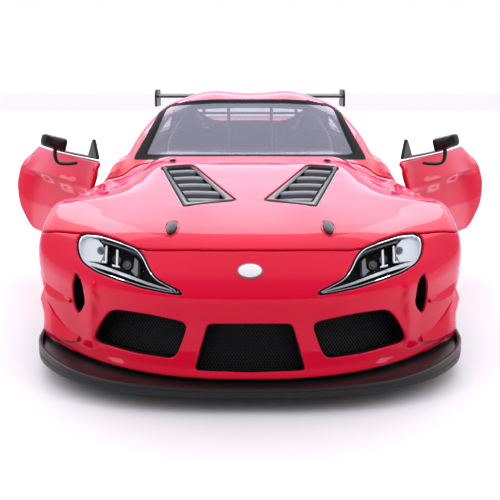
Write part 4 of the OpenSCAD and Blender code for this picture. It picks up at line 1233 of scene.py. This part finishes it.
SEATS_X = (13.5, -13.5)
chairs = Bits()
for cx in SEATS_X:
    def seat_at(p):
        return p + [cx, -2, 0]

    base = plate(rect(-6.3, 6.3, -6.8, 6, 1.6), 5.7, 9.2, 1.0, to=seat_at)
    pad = plate(soft(even([(4.6, -6.4), (4.8, 5.6)]), 1.4), 8.8, 10.6, 0.8, to=seat_at)
    chairs.add(base).add(pad, 1)
    for sx in (-1, 1):
        for q, r, near, far in (
                ([(-7, 8.6), (5, 8.6), (6.6, 10.6), (6, 12.4), (-3, 11.9), (-6.6, 11)], 1.0, 5.0, 6.7),
                ([(5.0, 11.8), (8.4, 11.6), (14.2, 26.4), (10.6, 26.6), (6.0, 16.5)], 1.4, 5.2, 6.6)):
            x0, x1 = sorted((near * sx, far * sx))
            chairs.add(plate(soft(q, r), x0, x1, 0.6, to=lambda p: seat_at(upright(p))))

    def lean(p):
        """Back panel coordinates, x across, y up the back, z forward, to the leaning seat back."""
        t = math.radians(17)
        up = np.array([0, math.sin(t), math.cos(t)])
        fwd = np.array([0, -math.cos(t), math.sin(t)])
        return seat_at(np.array([0, 8.6, 6.4]) + p[:, :1] * [1, 0, 0] + p[:, 1:2] * up + p[:, 2:] * fwd)

    for half, r, z0, z1, edge_r, mat in (
            ([(5.9, 0), (6.1, 12), (5.0, 22.6)], 2.2, -0.8, 1.4, 0.7, 0),
            ([(4.2, 3), (4.4, 12), (3.6, 20.6)], 1.6, 1.0, 2.2, 0.6, 1),
            ([(3.4, 22), (3.3, 26.6), (2.4, 28.4)], 1.2, -0.7, 1.6, 0.7, 0),
            ([(2.4, 22.8), (2.2, 27.2)], 0.8, 1.2, 2.2, 0.5, 1)):
        chairs.add(plate(soft(even(half), r), z0, z1, edge_r, to=lean), mat)
    for sx in (-1, 1):
        slot = soft([(2.0 * sx, 20.6), (3.3 * sx, 20.6), (3.2 * sx, 21.6), (2.0 * sx, 21.6)], 0.3)
        chairs.add(plate(slot, 1.3, 1.7, 0.15, to=lean), 2)
chairs.piece("bucket_seats", [TRIM, SUEDE, MATTE], stands_for="seats", slot="cabin_black", angle=45)

belts = Bits()
for cx in SEATS_X:
    for sx in (-1, 1):
        def beside(*points):
            return [(cx + x * sx, y, z) for x, y, z in points]

        path = smooth_path(beside((1.1, 2.5, 11.2), (1.6, 4.2, 12.8), (2.2, 6.2, 18), (2.5, 8.0, 24),
                                  (2.5, 9.6, 27.9), (2.5, 11.6, 28.4)), 5)
        side = np.array([0.62, 0, 0])
        nrm = np.cross([1, 0, 0], np.gradient(path, axis=0))
        nrm /= np.linalg.norm(nrm, axis=1, keepdims=True)
        rings = [[p - side, p + side, p + side + m * 0.22, p - side + m * 0.22] for p, m in zip(path, nrm)]
        belts.add(loft(rings))
        belts.add(loft([beside((0.5, 1.6, 11.0), (4.9, 1.4, 11.1), (4.9, 1.4, 11.4), (0.5, 1.6, 11.3)),
                        beside((0.5, 2.7, 11.0), (4.9, 2.6, 11.1), (4.9, 2.6, 11.4), (0.5, 2.7, 11.3))]))
    belts.add(turned([(0.02, 0), (0.95, 0), (0.95, 0.4), (0.7, 0.55), (0.02, 0.55)], 24,
                     lambda p: p + [cx, 2.2, 11.0]), 1)
belts.piece("red_belts", [BELT, STEEL], stands_for="harnesses", slot="belt_red")

wheel = Bits()


def column(p):
    """Steering wheel plane, x across, y up the plane, z towards the driver."""
    t = math.radians(68)
    return np.array([13, -9.4, 27.4]) + np.c_[p[:, 0], p[:, 1] * math.cos(t) + p[:, 2] * math.sin(t),
                                              p[:, 1] * math.sin(t) + p[:, 2] * math.cos(t)]


a = np.linspace(0, 2 * math.pi, 49)
rim = np.c_[5 * np.cos(a), np.maximum(5 * np.sin(a), -4.1), 0 * a]
wheel.add(tube(column(rim), 0.5))
wheel.add(plate(soft(even([(1.7, -1.6), (1.9, 1.2)]), 0.7), -0.4, 0.5, 0.3, to=column))
for q in ([(-4.7, 0.1), (-1.6, -0.5), (-1.6, 0.7), (-4.7, 0.9)],
          [(1.6, -0.5), (4.7, 0.1), (4.7, 0.9), (1.6, 0.7)],
          even([(0.5, -4.2), (0.7, -1.4)])):
    wheel.add(plate(soft(q, 0.3), -0.2, 0.25, 0.1, to=column), 1)
for x, y in ((-1.1, 0.5), (1.1, 0.5), (-1.1, -0.5), (1.1, -0.5)):
    wheel.add(disc(0.25, 0.45, 0.62, 12, lambda p: column(p + [x, y, 0])), 2)
wheel.add(tube([(13, -9.0, 27.0), (13, -13.5, 25.6)], 0.7, 12), 1)
wheel.piece("racing_wheel", [SUEDE, SATIN, BELT], stands_for="steering_wheel", slot="cabin_black")

dash = Bits()


def facing_back(p):
    """Outline drawn as (x, z), standing to face the seats."""
    return np.c_[p[:, 0], -p[:, 2], p[:, 1]]


prof = soft([(-26, 24.6), (-26, 31.2), (-22.4, 32.7), (-15.4, 31.7), (-13.2, 28.8), (-15, 24.6)], 1.4)
dash.add(plate(prof, -27.4, 27.4, 0.6, to=upright))
hood_q = soft([(-19.5, 31.6), (-13.8, 31.2), (-13.4, 32.4), (-15, 33.4), (-18.5, 33.3)], 0.7)
dash.add(plate(hood_q, 8.6, 17.4, 0.5, to=upright))
dash.add(plate(rect(9.4, 16.6, 28.6, 32.4, 0.6), 13.1, 13.7, 0.15, to=facing_back), 2)
dash.add(slab((-3, -21, 12.2), (3, -14.6, 25), 0.5, 0.8))
dash.add(plate(rect(-2.4, 2.4, 26, 30, 0.4), 13.4, 14.0, 0.15, to=facing_back), 2)
for x in (-22, -9, 9.5, 22):
    for k in range(3):
        dash.add(plate(rect(x - 2, x + 2, 27.6 + k * 0.9, 28.1 + k * 0.9, 0.1), 13.2, 13.9, 0.08,
                       to=facing_back), 1)
dash.piece("dash_board", [TRIM, SATIN, BLACK], stands_for="dashboard", slot="cabin_black")

cage = Bits()
half = [(25.6, 20, 5.7), (25.6, 20, 20), (25.4, 20, 33), (23.6, 19.4, 38.5), (18.6, 18.2, 45.2),
        (15, 18, 46.2)]
hoop = smooth_path(half + [(0, 18, 46.6)] + [(-x, y, z) for x, y, z in half[::-1]], 5)
cage.add(tube(hoop, 0.62))
cage.add(tube([(-25.4, 20, 32.6), (25.4, 20, 32.6)], 0.5))
for sx in (-1, 1):
    cage.add(tube(smooth_path([(17 * sx, 18, 45.8), (16.4 * sx, 30, 42.6), (15.6 * sx, 44, 38.6)], 4), 0.52))
    cage.add(tube([(6.6 * sx, 18, 46.3), (6.6 * sx, 19.8, 32.8)], 0.5))
    for p in ((25.6 * sx, 20, 6.0), (15.6 * sx, 44, 38.4)):
        cage.add(plate(rect(p[0] - 1.4, p[0] + 1.4, p[1] - 1.4, p[1] + 1.4, 0.4), p[2] - 0.3, p[2] + 0.25,
                       0.1))
cage.add(tube([(-16.8, 24, 44.2), (16.8, 24, 44.2)], 0.42))
cage.piece("cage_tubes", [CAGE], stands_for="roll_cage", slot="cage_grey")

# ---------------------------------------------------------------- CAD parts that show as they are

FROM_CAD = {
    STEEL: "door_left_arms door_right_arms door_hinge_pins hood_arms hood_hinge_pins chassis_screws "
           "strut_brace front_axle rear_axle front_discs rear_discs",
    SATIN: "chassis_plate engine_bay", TRIM: "interior_tub", IRON: "engine", FINS: "radiator"}
for material, names in FROM_CAD.items():
    for name in names.split():
        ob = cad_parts[name]
        if not ob.material_slots:
            ob.data.materials.append(material)
        for sl in ob.material_slots:
            sl.material = material
        soft_edge = ob.modifiers.new("soft edges", "BEVEL")
        soft_edge.width, soft_edge.segments = 0.12 * MM, 2
        soft_edge.limit_method, soft_edge.angle_limit = "ANGLE", math.radians(50)
        soft_edge.harden_normals = True

# ---------------------------------------------------------------- camera, floor and light

LOOK_DOWN = 13.4   # degrees


def look():
    cam = bpy.data.objects.new("camera", bpy.data.cameras.new("camera"))
    bpy.context.scene.collection.objects.link(cam)
    cam.data.lens, cam.data.sensor_width = 50, 36
    cam.location = EYE * MM
    cam.rotation_euler = (math.radians(90 - LOOK_DOWN), 0, 0)
    cam.data.clip_start = 0.005
    bpy.context.scene.camera = cam


def ground():
    """Pale paper lying flat under the car, 8 m each way."""
    n = 24
    v = [(8 * (i / n - 0.5), 8 * (j / n - 0.5), 0) for j in range(n + 1) for i in range(n + 1)]
    me = bpy.data.meshes.new("studio_floor")
    me.from_pydata(v, [], grid_faces(n + 1, n + 1, closed=False))
    ob = bpy.data.objects.new("studio_floor", me)
    me.materials.append(finish("studio paper", (0.9, 0.895, 0.89), 0.65, grain=0.1, grain_size=0.6,
                               mottle=0.01))
    bpy.context.scene.collection.objects.link(ob)


def soft_box(name, where, target, size, size_y, power, tone):
    """A rectangular light at a place in metres, turned to its target."""
    li = bpy.data.lights.new(name, "AREA")
    li.shape = "RECTANGLE"
    li.size, li.size_y, li.energy, li.color = size, size_y, power, tone
    ob = bpy.data.objects.new(name, li)
    ob.location = where
    d = np.array(target) - np.array(where)
    pitch = math.atan2(math.hypot(d[0], d[1]), -d[2])
    ob.rotation_euler = (pitch, 0, math.atan2(-d[0], d[1]))
    bpy.context.scene.collection.objects.link(ob)


def sky():
    """White surroundings, brighter and cooler overhead, darker in front and a little at the sides."""
    w = bpy.data.worlds.new("studio")
    w.use_nodes = True
    t = w.node_tree
    coord = node(t, "TexCoord", {}).outputs["Generated"]
    x, y, z = node(t, "SeparateXYZ", {"Vector": coord}).outputs

    def ramp(value, a, b, lo, hi):
        return node(t, "MapRange", {"From Min": a, "From Max": b, "To Min": lo, "To Max": hi, "Value": value},
                    interpolation_type="SMOOTHSTEP").outputs["Result"]

    def both_of(kind, *values):
        return node(t, "Math", dict(enumerate(values)), operation=kind).outputs["Value"]

    total = both_of("ADD", ramp(y, -0.85, 0.0, 0.18, 1.0), ramp(z, 0.15, 0.8, 0.0, 0.45))
    sides = ramp(both_of("ABSOLUTE", x), 0.5, 0.95, 1.0, 0.72)
    tone = node(t, "Mix", {"A": (1, 1, 1, 1), "B": (0.95, 0.93, 1, 1),
                           "Factor": ramp(z, 0.15, 0.5, 0.0, 1.0)},
                data_type="RGBA")
    fill(t, t.nodes["Background"],
         {"Strength": both_of("MULTIPLY", total, sides), "Color": tone.outputs["Result"]})
    bpy.context.scene.world = w


bpy.context.scene.view_settings.view_transform = "Standard"
look()
ground()
sky()
HOOD_TOP = (0, -0.03, 0.02)
COOL = (0.95, 0.93, 1.0)
for box in (
        ("overhead", (0, 0.85, 0.62), (0, 0, 0), 1.1, 0.45, 5.0, (0.86, 0.84, 1.0)),
        ("left_box", (-0.6, -0.25, 0.45), HOOD_TOP, 0.12, 0.5, 0.8, COOL),
        ("crest_box_right", (-0.5, 0.45, 0.5), HOOD_TOP, 0.5, 0.5, 1.1, (1, 1, 1)),
        ("crest_box_left", (0.5, 0.45, 0.5), HOOD_TOP, 0.5, 0.5, 1.1, (1, 1, 1)),
        ("right_box", (0.6, -0.25, 0.45), HOOD_TOP, 0.12, 0.5, 0.8, COOL)):
    soft_box(*box)
